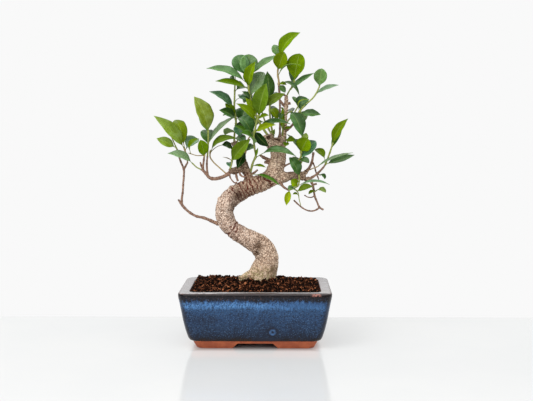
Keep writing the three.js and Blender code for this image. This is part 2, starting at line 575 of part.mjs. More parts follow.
function makePot() {
  const { height, rimRadius, lip, innerRadius, footInset, footTop, floorTop, shoulder } = POT;
  const body = loft([
    potRing(footInset, 0, 6),
    potRing(footInset - POT.footSlope, footTop, 6.6),
    potRing(footInset - POT.footSlope - 1, footTop + 0.4, 6.8),
    potRing(wallInset(shoulder) + 0.8, shoulder - 1.6, 7),
    potRing(wallInset(shoulder + 2), shoulder + 2, 7.5),
    potRing(wallInset(34), 34, 8),
    potRing(0.5, height - 3.6, rimRadius - 0.4),
    potRing(0, height - 2.4, rimRadius),
    potRing(0.2, height - 0.9, rimRadius - 0.2),
    potRing(1.1, height, rimRadius - 1),
    potRing(lip - 0.9, height, innerRadius + 0.6),
    potRing(lip, height - 0.9, innerRadius),
    potRing(lip, LIP_BOTTOM, innerRadius),
    potRing(UNDER_LIP_INSET, LIP_BOTTOM - UNDERCUT, innerRadius),
    potRing(INNER_FLOOR_INSET, floorTop + 4, innerRadius),
    potRing(INNER_FLOOR_INSET + 3, floorTop, innerRadius - 1),
  ]);
  const footRecess = footInset + POT.footWall;
  const recess = loft([potRing(footRecess, -1, 4), potRing(footRecess - 1.5, POT.recessTop, 4)]);
  const drain = new THREE.CylinderGeometry(DRAIN.radius, DRAIN.radius, floorTop, 14);
  drain.rotateX(Math.PI / 2);
  const drains = [-DRAIN.x, DRAIN.x].map((x) => solid(drain.clone().translate(x, 0, floorTop - 2)));
  return [solid(recess), solid(archTool()), ...drains].reduce((pot, cut) => pot.subtract(cut), solid(body));
}

/** The cut-out that runs through the foot from front to back. */
function archTool() {
  const { bottom, top, height, round } = ARCH;
  const outline = new THREE.Shape();
  outline.moveTo(-bottom / 2, -1);
  outline.lineTo(bottom / 2, -1);
  outline.lineTo(bottom / 2, 0);
  outline.lineTo(top / 2 + round, height - round);
  outline.quadraticCurveTo(top / 2 + round / 2, height, top / 2 - round, height);
  outline.lineTo(-top / 2 + round, height);
  outline.quadraticCurveTo(-top / 2 - round / 2, height, -top / 2 - round, height - round);
  outline.lineTo(-bottom / 2, 0);
  const throughFoot = { depth: POT.depth, bevelEnabled: false, curveSegments: 4 };
  const tool = new THREE.ExtrudeGeometry(outline, throughFoot);
  return tool.rotateX(Math.PI / 2).translate(0, POT.depth / 2, 0);
}

/** A square of plastic net over a drain hole. */
function makeNet(x) {
  const { netSize, netThickness, bar: strand, meshes } = DRAIN;
  const pitch = (netSize - strand) / meshes;
  const place = (k) => pitch * (k - (meshes - 1) / 2);
  let net = solid(new THREE.BoxGeometry(netSize, netSize, netThickness));
  for (let column = 0; column < meshes; column++) {
    for (let row = 0; row < meshes; row++) {
      const hole = new THREE.BoxGeometry(pitch - strand, pitch - strand, 2 * netThickness);
      net = net.subtract(solid(hole.translate(place(column), place(row), 0)));
    }
  }
  return net.translate([x, 0, POT.floorTop + FIT_GAP + netThickness / 2]);
}

// ---------------------------------------------------------------- soil

/** Height of the bed: it rises to the back and round the trunk, with coarse crumbs. */
function soilHeight(x, y) {
  const { front, back, tilt, moundX, moundY, mound, spreadX, spreadY, crumb } = SOIL;
  const halfDepth = POT.depth / 2 - POT.lip;
  const slope = THREE.MathUtils.mapLinear(y, -halfDepth, halfDepth, front, back - tilt * x);
  const rise = mound * Math.exp(-(((x - moundX) / spreadX) ** 2) - ((y - moundY) / spreadY) ** 2);
  const coarse = Math.sin(0.9 * x + 0.4 * y) * Math.cos(0.8 * y - 0.3 * x);
  const fine = 0.5 * Math.sin(1.7 * x) * Math.sin(1.9 * y);
  return slope + rise + crumb * (coarse + fine);
}

function makeSoil(wood) {
  const { floorTop, lip, height, innerRadius } = POT;
  const bedInset = lip + FIT_GAP;
  const bedRing = (inset, z, radius) => potRing(inset, z, radius, 3, [5, 3]);
  const rim = bedRing(bedInset, 0, innerRadius);
  const trunkFoot = new THREE.Vector3(SOIL.moundX, SOIL.moundY, 0);
  const drape = (share) =>
    rim.map((point) => {
      const spot = point.clone().lerp(trunkFoot, share);
      return spot.setZ(soilHeight(spot.x, spot.y));
    });
  const bed = loft([
    bedRing(INNER_FLOOR_INSET + 3 + FIT_GAP, floorTop + FIT_GAP, innerRadius - 1),
    bedRing(INNER_FLOOR_INSET + FIT_GAP, floorTop + 4, innerRadius),
    bedRing(UNDER_LIP_INSET + FIT_GAP, LIP_BOTTOM - UNDERCUT - FIT_GAP, innerRadius),
    bedRing(bedInset, LIP_BOTTOM - FIT_GAP, innerRadius),
    bedRing(bedInset, height - SOIL.chamfer, innerRadius),
    ...[0.02, 0.16, 0.32, 0.48, 0.64, 0.78, 0.88].map(drape),
  ]);
  const hollows = [-DRAIN.x, DRAIN.x].map((x) => {
    const side = DRAIN.netSize + 2 * FIT_GAP;
    const top = floorTop + 2 * FIT_GAP + DRAIN.netThickness;
    return solid(new THREE.BoxGeometry(side, side, 4).translate(x, 0, top - 2));
  });
  return [wood, ...hollows].reduce((soil, cut) => soil.subtract(cut), solid(bed));
}

// ---------------------------------------------------------------- tree

/** Flutes that run down into the roots, and a slow twist of swellings above. */
function trunkRelief(angle, { z }) {
  const flare = THREE.MathUtils.smoothstep(92 - z, 0, 26);
  const flutes = 0.07 * flare * Math.cos(SURFACE_ROOTS.length * angle + 0.6);
  const swellings = 0.03 * Math.sin(2 * angle + 0.09 * z) + 0.022 * Math.sin(3 * angle - 0.21 * z);
  return flutes + swellings;
}

/** Trunk, roots, limbs and twigs as one solid, or grown by a gap as the room that they take up. */
function makeWood(grow = 0) {
  return joined([
    solid(bar(TRUNK_LINE, TRUNK_SIDES, 1.3, { grow, relief: trunkRelief })),
    ...SURFACE_ROOTS.map((line) => solid(bar(line, ROOT_SIDES, 1, { grow }))),
    ...LIMBS.map((line) => solid(bar(line, LIMB_SIDES, 1.25, { grow }))),
    ...TWIGS.map((line) => solid(bar(line, TWIG_SIDES, 1, { grow }))),
  ]);
}

/** Half width of a blade, as a share of its widest, from its base (0) to its tip (1). */
const bladeOutline = (share) => Math.abs(Math.sin(Math.PI * share ** 0.86)) ** 0.78;

/** One leaf from its root on a stem to its tip: a stalk and an arched blade folded along the midrib. */
function makeLeaf(root, tip, width, face, arch, stalk = PETIOLE_SHARE) {
  const chord = tip.clone().sub(root);
  const length = chord.length();
  const ahead = chord.clone().normalize();
  const level = (direction) => direction.addScaledVector(ahead, -direction.dot(ahead)).normalize();
  const front = level(new THREE.Vector3(0, -1, 0.02));
  const sky = level(new THREE.Vector3(0.02, 0, 1));
  const turn = THREE.MathUtils.degToRad(face);
  const halfWidth = width / 2 / Math.max(Math.cos(turn), EDGE_ON);
  const upper = level(front.multiplyScalar(Math.cos(turn)).addScaledVector(sky, Math.sin(turn)));
  const crest = root.clone().lerp(tip, 0.5).addScaledVector(upper, 2 * arch * length);
  const midrib = new THREE.QuadraticBezierCurve3(root, crest, tip);
  const ring = (share, half, thickness, rise) => {
    const centre = midrib.getPoint(share);
    const along = midrib.getTangent(share);
    const aside = along.clone().cross(upper).normalize();
    const normal = aside.clone().cross(along);
    const corner = (side, lift) =>
      centre.clone().addScaledVector(aside, side * half).addScaledVector(normal, lift);
    const skin = thickness / 2;
    return [
      corner(-1, rise + skin), corner(0, skin), corner(1, rise + skin),
      corner(1, rise - skin), corner(0, -skin), corner(-1, rise - skin),
    ];
  };
  const rings = [ring(0, PETIOLE_ROOT / 2, PETIOLE_ROOT, 0)];
  const stations = length < SMALL_LEAF ? SMALL_LEAF_STATIONS : LEAF_STATIONS;
  stations.forEach((station, index) => {
    const half = Math.max(halfWidth * bladeOutline(station), PETIOLE_WIDTH / 2);
    const rise = (half - PETIOLE_WIDTH / 2) * Math.tan(FOLD);
    rings.push(ring(stalk + (1 - stalk) * station, half, index ? BLADE_THICKNESS : PETIOLE_WIDTH, rise));
  });
  const onUnderside = (k) => k === 3 || k === 4;
  return loft(rings, onUnderside);
}

/** A stem or two with their leaves, seated against the wood with a hairline gap. */
function makeShoot({ stems, leaves }, room) {
  const lines = stems.map((line) => new THREE.CatmullRomCurve3(line.map(vector), false, "centripetal"));
  const pieces = stems.map((line) => solid(bar(line, STEM_SIDES, 1)));
  for (const [stem, share, x, y, z, width, face, arch, stalk] of leaves) {
    const root = lines[stem].getPointAt(share);
    pieces.push(solid(makeLeaf(root, vector([x, y, z]), width, face, arch, stalk)));
  }
  return joined(pieces).subtract(room);
}

// ---------------------------------------------------------------- the whole plant

const woodRoom = makeWood(FIT_GAP);
const bonsai = new THREE.Group();
bonsai.add(mesh("pot", makePot(), GLAZE));
bonsai.add(mesh("drain_mesh_left", makeNet(-DRAIN.x), NET));
bonsai.add(mesh("drain_mesh_right", makeNet(DRAIN.x), NET));
bonsai.add(mesh("soil", makeSoil(woodRoom), EARTH));
bonsai.add(mesh("trunk", makeWood(), BARK));
for (const [name, shoot] of Object.entries(SHOOTS)) {
  bonsai.add(mesh(name, makeShoot(shoot, woodRoom), LEAF));
}

export default bonsai;
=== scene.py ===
"""Looks of a small ficus bonsai in a glazed rectangular pot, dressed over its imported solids.

Shape tables are in millimetres, as the plant was measured, and MM turns them into metres.
+X points right in the front view, +Y to the back and +Z up. The pot stands on Z = 0.
"""

import logging
import math
import random
import sys
from dataclasses import dataclass, field
from enum import Enum
from typing import Callable

import bpy
import numpy as np
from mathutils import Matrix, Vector, noise
from mathutils.kdtree import KDTree

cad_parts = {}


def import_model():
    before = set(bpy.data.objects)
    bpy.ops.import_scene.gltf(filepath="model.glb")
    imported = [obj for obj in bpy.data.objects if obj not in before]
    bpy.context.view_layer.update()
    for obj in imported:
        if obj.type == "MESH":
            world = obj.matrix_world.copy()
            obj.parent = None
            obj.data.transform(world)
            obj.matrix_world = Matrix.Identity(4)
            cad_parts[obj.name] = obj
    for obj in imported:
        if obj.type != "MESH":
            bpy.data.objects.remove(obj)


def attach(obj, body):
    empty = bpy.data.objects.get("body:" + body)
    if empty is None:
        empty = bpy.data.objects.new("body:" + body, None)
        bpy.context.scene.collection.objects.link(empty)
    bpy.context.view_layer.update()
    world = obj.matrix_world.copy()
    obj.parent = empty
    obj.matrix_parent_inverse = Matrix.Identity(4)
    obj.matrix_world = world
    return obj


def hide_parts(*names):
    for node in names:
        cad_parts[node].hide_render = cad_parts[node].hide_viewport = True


LOG = logging.getLogger("bonsai")
MM = 0.001
TURN = 2 * math.pi

Point = tuple[float, float, float]
Station = tuple[float, float, float, float]
Colour = tuple[float, float, float]
Socket = bpy.types.NodeSocket
Piece = bpy.types.Object
Material = bpy.types.Material
Array = np.ndarray


def paint(red: int, green: int, blue: int) -> Colour:
    """Turns a colour as a screen shows it, 0 to 255, into the linear one that a shader takes."""
    shares = (level / 255 for level in (red, green, blue))
    return tuple(share / 12.92 if share <= 0.04045 else ((share + 0.055) / 1.055) ** 2.4 for share in shares)


class Tone(Enum):
    """Colour of a leaf's upper face; the pale, silvery and misty tones also hold painted sheen."""

    LIGHT = paint(102, 130, 2)
    PALE = paint(124, 148, 34)
    OLIVE = paint(98, 124, 2)
    DARK = paint(50, 88, 26)
    SILVERY = paint(86, 126, 60)
    YELLOW = paint(130, 152, 4)
    LEAFY = paint(88, 112, 10)
    TEAL = paint(60, 104, 66)
    MIST = paint(112, 142, 98)
    GLOSSY = paint(16, 42, 6)
    FERN = paint(64, 104, 44)
    FRESH = paint(70, 110, 14)
    BROWN = paint(122, 92, 60)


class StemTone(Enum):
    """Colour of a leafy stem."""

    GREEN = paint(132, 142, 60)
    BROWN = paint(150, 128, 84)
    RED = paint(142, 116, 70)


@dataclass(frozen=True)
class Leaf:
    """One leaf of a shoot.

    Attributes:
        tone: Colour of its upper face.
        share: How far along its stem it grows.
        tip: Where its tip is, in millimetres.
        width: Its width as seen from the front, in millimetres.
        face: Where its upper face looks: 0 to the front, 90 to the sky, 180 to the back.
        arch: How far it arches, as a share of its length.
        stalk: The part of its length that is its stalk.
        stem: Which of the shoot's stems bears it.
    """

    tone: Tone
    share: float
    tip: Point
    width: float
    face: float
    arch: float = 0.14
    stalk: float = 0.14
    stem: int = 0


@dataclass(frozen=True)
class ShootPlan:
    """A leafy shoot: its stems as lines of (x, y, z, radius) in millimetres, and its leaves."""

    node: str
    stems: list[list[Station]]
    leaves: list[Leaf]
    stem_tone: StemTone = StemTone.GREEN


SHOOTS: list[ShootPlan] = [
    ShootPlan("shoot_far_left", [[(-69.9, 0, 183.4, 0.7), (-71, 1, 191, 0.7), (-73, 1, 197.5, 0.7)]], [
        Leaf(Tone.PALE, 1, (-102.6, -12, 231.4), 12, 30, 0.12, 0.12),
        Leaf(Tone.OLIVE, 1, (-84, 16, 227.6), 11, 34, 0.3),
        Leaf(Tone.MIST, 0.92, (-60.8, 10, 208.6), 10, 50, 0.1),
    ], StemTone.BROWN),
    ShootPlan("shoot_left_fork", [[(-80.8, 0, 197.6, 0.75), (-83.6, 0, 204, 0.6), (-86.3, 0, 209.8, 0.4)]], [
        Leaf(Tone.PALE, 0.1, (-101, -4, 208.6), 9, 20, 0.1),
        Leaf(Tone.SILVERY, 0.7, (-90, 17, 220), 8, 30, 0.12),
    ]),
    ShootPlan("shoot_left_low", [
        [(-55.6, -1, 176.8, 0.75), (-60.5, -2, 179.2, 0.65), (-64, -3, 182.6, 0.65)],
    ], [
        Leaf(Tone.MIST, 1, (-89.5, -7, 193.4), 7.5, 44, 0.17),
    ]),
    ShootPlan("shoot_left_tall", [
        [(-49.6, 0, 189.8, 0.9), (-49, -0.5, 199, 0.85), (-48.6, -1, 208, 0.8), (-48.5, -1, 215.5, 0.75)],
    ], [
        Leaf(Tone.PALE, 1, (-62.5, -5, 250.9), 16, 30, 0.14, 0.06),
        Leaf(Tone.DARK, 0.4, (-50.5, 12, 217), 13, 22, 0.12),
        Leaf(Tone.MIST, 0.55, (-21.4, 3, 231), 8, 72, 0.04),
        Leaf(Tone.SILVERY, 0.85, (-56, 20, 238), 11, 20, 0.12),
    ]),
    ShootPlan("shoot_left_front", [
        [(-52.8, -3, 189.4, 0.75), (-52.2, -3.8, 191.9, 0.7), (-51.8, -4.2, 193, 0.6)],
        [(-52.3, -3.7, 191.5, 0.6), (-60, -5, 191.3, 0.45), (-66.3, -6, 193.2, 0.45)],
    ], [
        Leaf(Tone.LIGHT, 0.2, (-56, -8, 207.2), 10.5, 22, 0.08, 0.04),
        Leaf(Tone.BROWN, 0.5, (-59.2, -2, 199.6), 2.4, 0, 0.04),
        Leaf(Tone.OLIVE, 1, (-57.3, -9, 208.4), 5.5, 50, 0.26, stem=1),
    ], StemTone.BROWN),
    ShootPlan("shoot_left_arching", [
        [(-29.6, -1.8, 172, 0.7), (-38, 1.6, 179.2, 0.7), (-44, 4, 184.6, 0.7), (-47.2, 5, 189.5, 0.75),
         (-47.2, 5, 194, 0.7)],
    ], [
        Leaf(Tone.LEAFY, 1, (-18.8, -4, 208.6), 7.5, 48, 0.22),
        Leaf(Tone.DARK, 1, (-24, 9, 196.6), 7.5, 40, 0.42, 0.5),
    ], StemTone.BROWN),
    ShootPlan("shoot_left_stump", [
        [(-26.6, -3, 176.6, 0.85), (-24.4, -6, 183.4, 0.8), (-24, -7, 188, 0.8), (-23.3, -8, 192, 0.75)],
    ], [
        Leaf(Tone.LEAFY, 0.64, (-5, -16, 208.2), 13, 18, 0.08, 0.04),
        Leaf(Tone.TEAL, 0.1, (-27.6, 4, 184), 6, 20, 0.1),
        Leaf(Tone.BROWN, 0.6, (-33, -17, 190), 0.9, 40, 0.1),
    ]),
    ShootPlan("shoot_centre_low", [
        [(-12.6, -1.6, 182.6, 1), (-11, -4.6, 193, 0.9), (-9.8, -5.2, 199, 0.8), (-8.5, -6, 206, 0.75),
         (-5.2, -7.4, 212, 0.7)],
    ], [
        Leaf(Tone.GLOSSY, 0.42, (-18.6, -10, 178.4), 8.5, 15, 0.1, 0.08),
        Leaf(Tone.FRESH, 0.98, (-21.6, -13, 221.6), 4.5, 46, 0.07),
        Leaf(Tone.DARK, 0.6, (-20.6, 7, 209.4), 7, 60),
        Leaf(Tone.DARK, 0.4, (-2, 6, 201), 6, 40, 0.12),
    ], StemTone.RED),
    ShootPlan("shoot_back_left", [
        [(-22.8, 11, 204, 1.1), (-22.3, 11, 214, 1), (-20.8, 10.4, 225, 1), (-22.3, 8.6, 238, 0.95),
         (-22, 7, 252, 0.9), (-21.6, 6, 264, 0.75), (-21.3, 6, 270, 0.5)],
    ], [
        Leaf(Tone.TEAL, 0.3, (-15.6, 0, 211), 9.5, 18, 0.1),
        Leaf(Tone.GLOSSY, 0.3, (-11.5, 4, 220), 8, 35, 0.12),
        Leaf(Tone.DARK, 0.37, (-4.8, -2, 214), 9.5, 50, 0.32),
        Leaf(Tone.OLIVE, 0.4, (-31.5, 2, 244.2), 8.5, 20, 0.1),
        Leaf(Tone.TEAL, 0.5, (-47.6, 2, 256.2), 8.5, 46, 0.12),
        Leaf(Tone.DARK, 0.37, (-37.2, -5, 237.2), 9, 32, 0.12),
        Leaf(Tone.TEAL, 0.62, (-10, 2, 250), 4, 45, 0.22, 0.55),
        Leaf(Tone.DARK, 0.97, (-26.5, 8, 271.6), 4, 30, 0.1),
        Leaf(Tone.FRESH, 0.8, (-12, 28, 262), 9, 40),
        Leaf(Tone.FRESH, 0.48, (-30, 32, 234), 10, 40),
    ]),
    ShootPlan("shoot_centre_top", [
        [(12, -0.4, 212, 1.3), (5, 4, 222, 1.2), (-1.5, 5, 235, 1.1), (-5.5, 4, 247, 1.1),
         (-7.3, 3, 258, 1.05), (-7.5, 2, 266, 0.95), (-7, 1, 272.5, 0.8)],
    ], [
        Leaf(Tone.LIGHT, 0.79, (-40.6, -7, 266.2), 6.5, 46, 0.08),
        Leaf(Tone.SILVERY, 0.86, (-50, -2, 279.2), 8, 48, 0.13, 0.16),
        Leaf(Tone.FERN, 0.84, (-19, 9, 293.6), 18, 4, 0.05, 0.36),
        Leaf(Tone.SILVERY, 0.88, (-7.4, 8, 294.4), 18, 16, 0.05, 0.2),
        Leaf(Tone.OLIVE, 0.82, (-0.4, -5, 286), 11, 28, 0.12, 0.08),
        Leaf(Tone.SILVERY, 0.97, (24, -3, 292.2), 7.5, 52, 0.07, 0.16),
        Leaf(Tone.MIST, 0.64, (7.5, 12, 276.4), 15, 28, 0.1),
        Leaf(Tone.DARK, 0.62, (-14, -4, 256), 4.5, 40, 0.1),
        Leaf(Tone.DARK, 0.56, (-13.2, -6, 250.6), 3.5, 50, 0.1),
        Leaf(Tone.DARK, 0.7, (-2, 30, 268), 11, 35),
        Leaf(Tone.DARK, 0.5, (-16, 26, 254), 10, 45),
    ]),
    ShootPlan("shoot_front_centre", [
        [(-6, 0, 172, 1.2), (-3, -6, 184, 1.1), (0, -8.6, 191, 1.05), (-1.2, -10.6, 199, 1),
         (-1.8, -12, 207, 1), (-0.8, -13, 215, 1), (0.5, -14, 223, 0.95), (3, -15, 231.5, 0.9)],
    ], [
        Leaf(Tone.LEAFY, 1, (11, -23, 263.2), 15.5, 20, 0.08, 0.04),
        Leaf(Tone.OLIVE, 0.88, (-19, -20, 243.4), 7.5, 34),
        Leaf(Tone.LIGHT, 0.97, (-10, -13, 249.2), 7.5, 24, 0.06),
        Leaf(Tone.LEAFY, 1, (29.4, -17, 253.4), 9, 32, 0.14, 0.36),
        Leaf(Tone.OLIVE, 0.92, (13.4, -26, 231.6), 4.5, 50, 0.08),
        Leaf(Tone.YELLOW, 0.72, (20.4, -30, 222.2), 6.5, 34, 0.12),
        Leaf(Tone.DARK, 0.75, (35, -21, 223), 6.5, 62),
        Leaf(Tone.GLOSSY, 0.74, (13.6, -21, 200.6), 9, -20, 0.1, 0.06),
        Leaf(Tone.FERN, 0.3, (40.8, -19, 190.6), 6.5, 54, 0.2, 0.25),
        Leaf(Tone.LIGHT, 0.32, (2.4, -14, 199.6), 2.6, 10, 0.05),
        Leaf(Tone.LIGHT, 0.16, (10.2, -13, 179.6), 2.8, 60, 0.06),
        Leaf(Tone.FRESH, 0, (24.8, -16, 161), 3, 58, 0.12, 0.25),
        Leaf(Tone.FRESH, 0.5, (-14, -32, 214), 8, 55),
    ]),
    ShootPlan("shoot_centre_back", [
        [(18, 3, 210.6, 1.1), (15.4, 6, 222, 1), (14, 6.6, 235, 0.95), (14, 6, 246, 0.9)],
    ], [
        Leaf(Tone.DARK, 1, (11.4, 0, 276.6), 11.5, 14, 0.08),
        Leaf(Tone.OLIVE, 0.78, (22, -5, 226.4), 6, 45, 0.3),
        Leaf(Tone.OLIVE, 0.1, (19.4, -11, 212.6), 3.2, 50, 0.2),
        Leaf(Tone.DARK, 0.75, (16, 34, 256), 12, 40),
        Leaf(Tone.DARK, 0.45, (24, 30, 238), 11, 45),
    ]),
    ShootPlan("shoot_crown", [
        [(23.5, 0, 261.6, 1.1), (23.2, 0, 267, 0.95), (22.2, 0, 273, 0.9), (22.3, 0, 278, 0.8),
         (24, 0.4, 286, 0.75), (24.8, 0, 294.5, 0.6)],
    ], [
        Leaf(Tone.LIGHT, 0.93, (44.8, -3, 315), 11.5, 36, 0.18, 0.03),
        Leaf(Tone.OLIVE, 0.48, (28.6, -8, 295.4), 14.5, 12, 0.05, 0.05),
        Leaf(Tone.SILVERY, 0.76, (18, 7, 303.8), 8.5, 14, 0.05, 0.26),
        Leaf(Tone.LIGHT, 0.3, (45.4, -17, 281), 2.8, 75, 0.2, 0.1),
        Leaf(Tone.DARK, 0.08, (44, -8, 251.6), 5, 68, 0.24, 0.08),
        Leaf(Tone.OLIVE, 0.07, (31, -5, 262.6), 3.6, 35, 0.15),
        Leaf(Tone.DARK, 0.06, (29.8, -6, 254.8), 6, 10, 0.1, 0.2),
        Leaf(Tone.FRESH, 0.6, (24, 24, 290), 10, 40),
    ], StemTone.BROWN),
    ShootPlan("shoot_crown_right", [
        [(31, 0, 251, 0.8), (34, -1, 257, 0.75), (36.6, -2, 260.4, 0.75), (38.6, -3, 265, 0.7)],
    ], [
        Leaf(Tone.OLIVE, 1, (44.2, -2, 294.2), 18, 18, 0.06, 0.12),
        Leaf(Tone.SILVERY, 0.55, (59, -4, 274.6), 6.5, 56, 0, 0.05),
        Leaf(Tone.DARK, 0.6, (43, 24, 287), 10, 35),
    ]),
    ShootPlan("shoot_middle", [
        [(27.4, 0.6, 207.6, 0.8), (27.2, -4.6, 219, 0.7), (28.2, -5, 228, 0.6), (28.4, -5, 235, 0.5)],
    ], [
        Leaf(Tone.LIGHT, 0.2, (27, -8, 240), 4.5, 10, 0.03),
        Leaf(Tone.DARK, 0.95, (24.6, -9, 228.6), 3.6, 60, 0.3),
        Leaf(Tone.OLIVE, 0.35, (36, -9, 219), 3.2, 55, 0.1),
    ]),
    ShootPlan("shoot_right_low_leaf", [
        [(28.4, 1, 210.8, 0.7), (31.6, -3, 206.6, 0.6), (32.4, -4, 204.6, 0.5)],
    ], [
        Leaf(Tone.OLIVE, 0.6, (39, -15, 206), 6, 35, 0.1),
        Leaf(Tone.OLIVE, 1, (29.8, -8, 201), 4, 50, 0.1),
    ]),
    ShootPlan("shoot_right_hanging", [
        [(29.8, 1, 231.6, 0.75), (32.6, -3, 234.4, 0.7), (35.4, -8, 235.6, 0.65)],
    ], [
        Leaf(Tone.DARK, 1, (46.6, -17, 210.6), 12, 32, 0.17, 0.04),
    ]),
    ShootPlan("shoot_right_top", [
        [(43.7, -7, 234.8, 0.95), (48, -7.6, 240.5, 0.9), (53.5, -7, 245.5, 0.8), (58.2, -6, 250, 0.8),
         (61.5, -5, 255, 0.75), (64, -4, 260.4, 0.7)],
    ], [
        Leaf(Tone.SILVERY, 1, (66.6, -5, 279), 13.5, 8, 0.05, 0.06),
        Leaf(Tone.MIST, 0.76, (83.4, -8, 262.2), 5, 56, 0.06, 0.06),
        Leaf(Tone.DARK, 0.04, (48.6, -1, 251), 12.5, 18, 0.1, 0.08),
        Leaf(Tone.YELLOW, 0.03, (53.6, -10, 247.6), 2, 60, 0.42, 0.1),
        Leaf(Tone.DARK, 0, (65.4, -11, 232.6), 7.5, 42, -0.04, 0.12),
        Leaf(Tone.DARK, 0.2, (49, 20, 246), 8, 40),
    ]),
    ShootPlan("shoot_right_inner", [
        [(41.4, -4, 185.2, 0.8), (45.2, -5, 188.6, 0.85), (45.8, -6, 195, 0.8)],
    ], [
        Leaf(Tone.LIGHT, 1, (52.6, -11, 208.6), 16, 14, 0.12, 0.08),
        Leaf(Tone.TEAL, 0.4, (61, 5, 206), 13, 24, 0.1, 0.05),
        Leaf(Tone.SILVERY, 1, (31.6, -1, 213), 4.4, 68, 0.05, 0.05),
        Leaf(Tone.PALE, 0.97, (51.4, 6, 214.2), 7, 12, 0.05, 0.4),
        Leaf(Tone.LIGHT, 0.9, (40.4, 5, 208), 5.5, 40, 0.1, 0.3),
        Leaf(Tone.DARK, 0.15, (54, -9, 184), 5, 50, 0.16),
        Leaf(Tone.DARK, 0.5, (52, 24, 198), 10, 40),
    ]),
    ShootPlan("shoot_front_low", [
        [(33.4, -8, 156.5, 0.85), (38, -10, 158, 0.8), (42.5, -11, 161, 0.8), (44, -11, 165.5, 0.8),
         (43.8, -11, 171, 0.75)],
        [(38, -10, 158, 0.7), (42, -11, 155.5, 0.6), (43.3, -12, 152, 0.5), (43.8, -12, 148, 0.45),
         (45.6, -12, 141, 0.4)],
    ], [
        Leaf(Tone.DARK, 1, (33.6, -16, 189.6), 10.4, 26, 0.12, 0.05),
        Leaf(Tone.YELLOW, 0.5, (35.6, -17, 167), 8.5, 15, 0.08, 0.1),
        Leaf(Tone.MIST, 0.52, (74.4, -15, 162.4), 3.6, 68, 0.12, 0.1),
        Leaf(Tone.LEAFY, 0.25, (57.4, -18, 160.6), 6.2, 44, 0.08, 0.05, stem=1),
        Leaf(Tone.SILVERY, 0.2, (32.6, -17, 157.4), 5.5, 66, 0.12, stem=1),
        Leaf(Tone.OLIVE, 0.5, (37.6, -15, 152.6), 2.6, 60, 0.2, stem=1),
        Leaf(Tone.YELLOW, 0.05, (31, -12, 141), 6.4, 15, 0.1, 0.1),
    ]),
    ShootPlan("shoot_right_long", [
        [(51.6, -0.2, 175.2, 0.6), (57, -3.4, 177.8, 0.55), (61.5, -4.6, 179.6, 0.55)],
    ], [
        Leaf(Tone.MIST, 1, (98, -12, 194.4), 4.6, 68, 0.05, 0.06),
    ], StemTone.BROWN),
    ShootPlan("shoot_right_tip", [
        [(70.7, 0, 181.4, 0.85), (73.5, 0, 189, 0.85), (76, 0, 196, 0.85), (78.3, 0, 203.5, 0.8)],
    ], [
        Leaf(Tone.LIGHT, 1, (93.4, -4, 228.6), 9, 32, 0.15, 0.05),
        Leaf(Tone.OLIVE, 0.08, (60.4, 6, 197.4), 6, 48, 0.25, 0.25),
        Leaf(Tone.DARK, 0.05, (101.2, 8, 191.6), 7, 54, -0.02, 0.1),
        Leaf(Tone.FRESH, 0.6, (88.4, 16, 219), 6, 30),
    ]),
    ShootPlan("shoot_right_leaflet", [
        [(62.4, 4, 171.6, 0.5), (63.4, 3, 172, 0.5), (64.2, 2.6, 171.6, 0.4)],
    ], [
        Leaf(Tone.DARK, 1, (70.4, 1, 167), 3.5, 60, 0.25),
    ]),
    ShootPlan("shoot_hanging", [[(59.3, -4, 154, 0.5), (61, -5.8, 155.4, 0.5), (61.4, -6.4, 155.8, 0.4)]], [
        Leaf(Tone.PALE, 1, (71, -9, 154), 4.2, 55, 0.24),
        Leaf(Tone.OLIVE, 0.6, (53.6, -9, 152.2), 2.6, 58, 0.16),
    ]),
    ShootPlan("shoot_rear_left", [
        [(-18.6, 9, 196, 1), (-20, 20, 203, 0.9), (-19, 29, 212, 0.8), (-16, 36, 222, 0.7)],
    ], [
        Leaf(Tone.DARK, 1, (-12, 45, 240), 11, 60),
        Leaf(Tone.FRESH, 0.7, (-34, 40, 212), 10, 100),
        Leaf(Tone.FRESH, 0.75, (-4, 42, 210), 9, 90),
        Leaf(Tone.DARK, 0.4, (-14, 32, 198), 9, 110),
    ]),
    ShootPlan("shoot_rear_centre", [
        [(20, 5, 205, 1.1), (15, 15, 214, 1), (9, 24, 226, 0.9), (5, 32, 239, 0.8), (4, 38, 250, 0.7)],
    ], [
        Leaf(Tone.FRESH, 1, (2, 44, 272), 13, 60, 0.12),
        Leaf(Tone.DARK, 0.9, (-14, 44, 246), 11, 90),
        Leaf(Tone.DARK, 0.8, (19, 46, 246), 11, 90),
        Leaf(Tone.FRESH, 0.5, (-6, 33, 220), 9, 110),
        Leaf(Tone.DARK, 0.35, (16, 36, 221), 9, 110),
    ]),
    ShootPlan("shoot_rear_right", [
        [(29.2, 1.4, 221, 0.9), (33, 11, 227, 0.85), (38, 21, 233, 0.8), (43, 30, 241, 0.7)],
    ], [
        Leaf(Tone.FRESH, 1, (46, 42, 249), 10, 60),
        Leaf(Tone.DARK, 0.7, (50, 38, 226), 9, 100),
        Leaf(Tone.DARK, 0.6, (29, 38, 237), 9, 90),
    ]),
    ShootPlan("shoot_rear_low", [
        [(40, -1, 171.6, 0.9), (45, 11, 180, 0.85), (48, 20, 186, 0.8), (51, 28, 193, 0.7)],
    ], [
        Leaf(Tone.FRESH, 1, (55, 38, 205), 10, 60),
        Leaf(Tone.DARK, 0.7, (41, 36, 181), 8, 100),
        Leaf(Tone.DARK, 0.4, (37, 22, 186), 8, 100),
    ]),
]

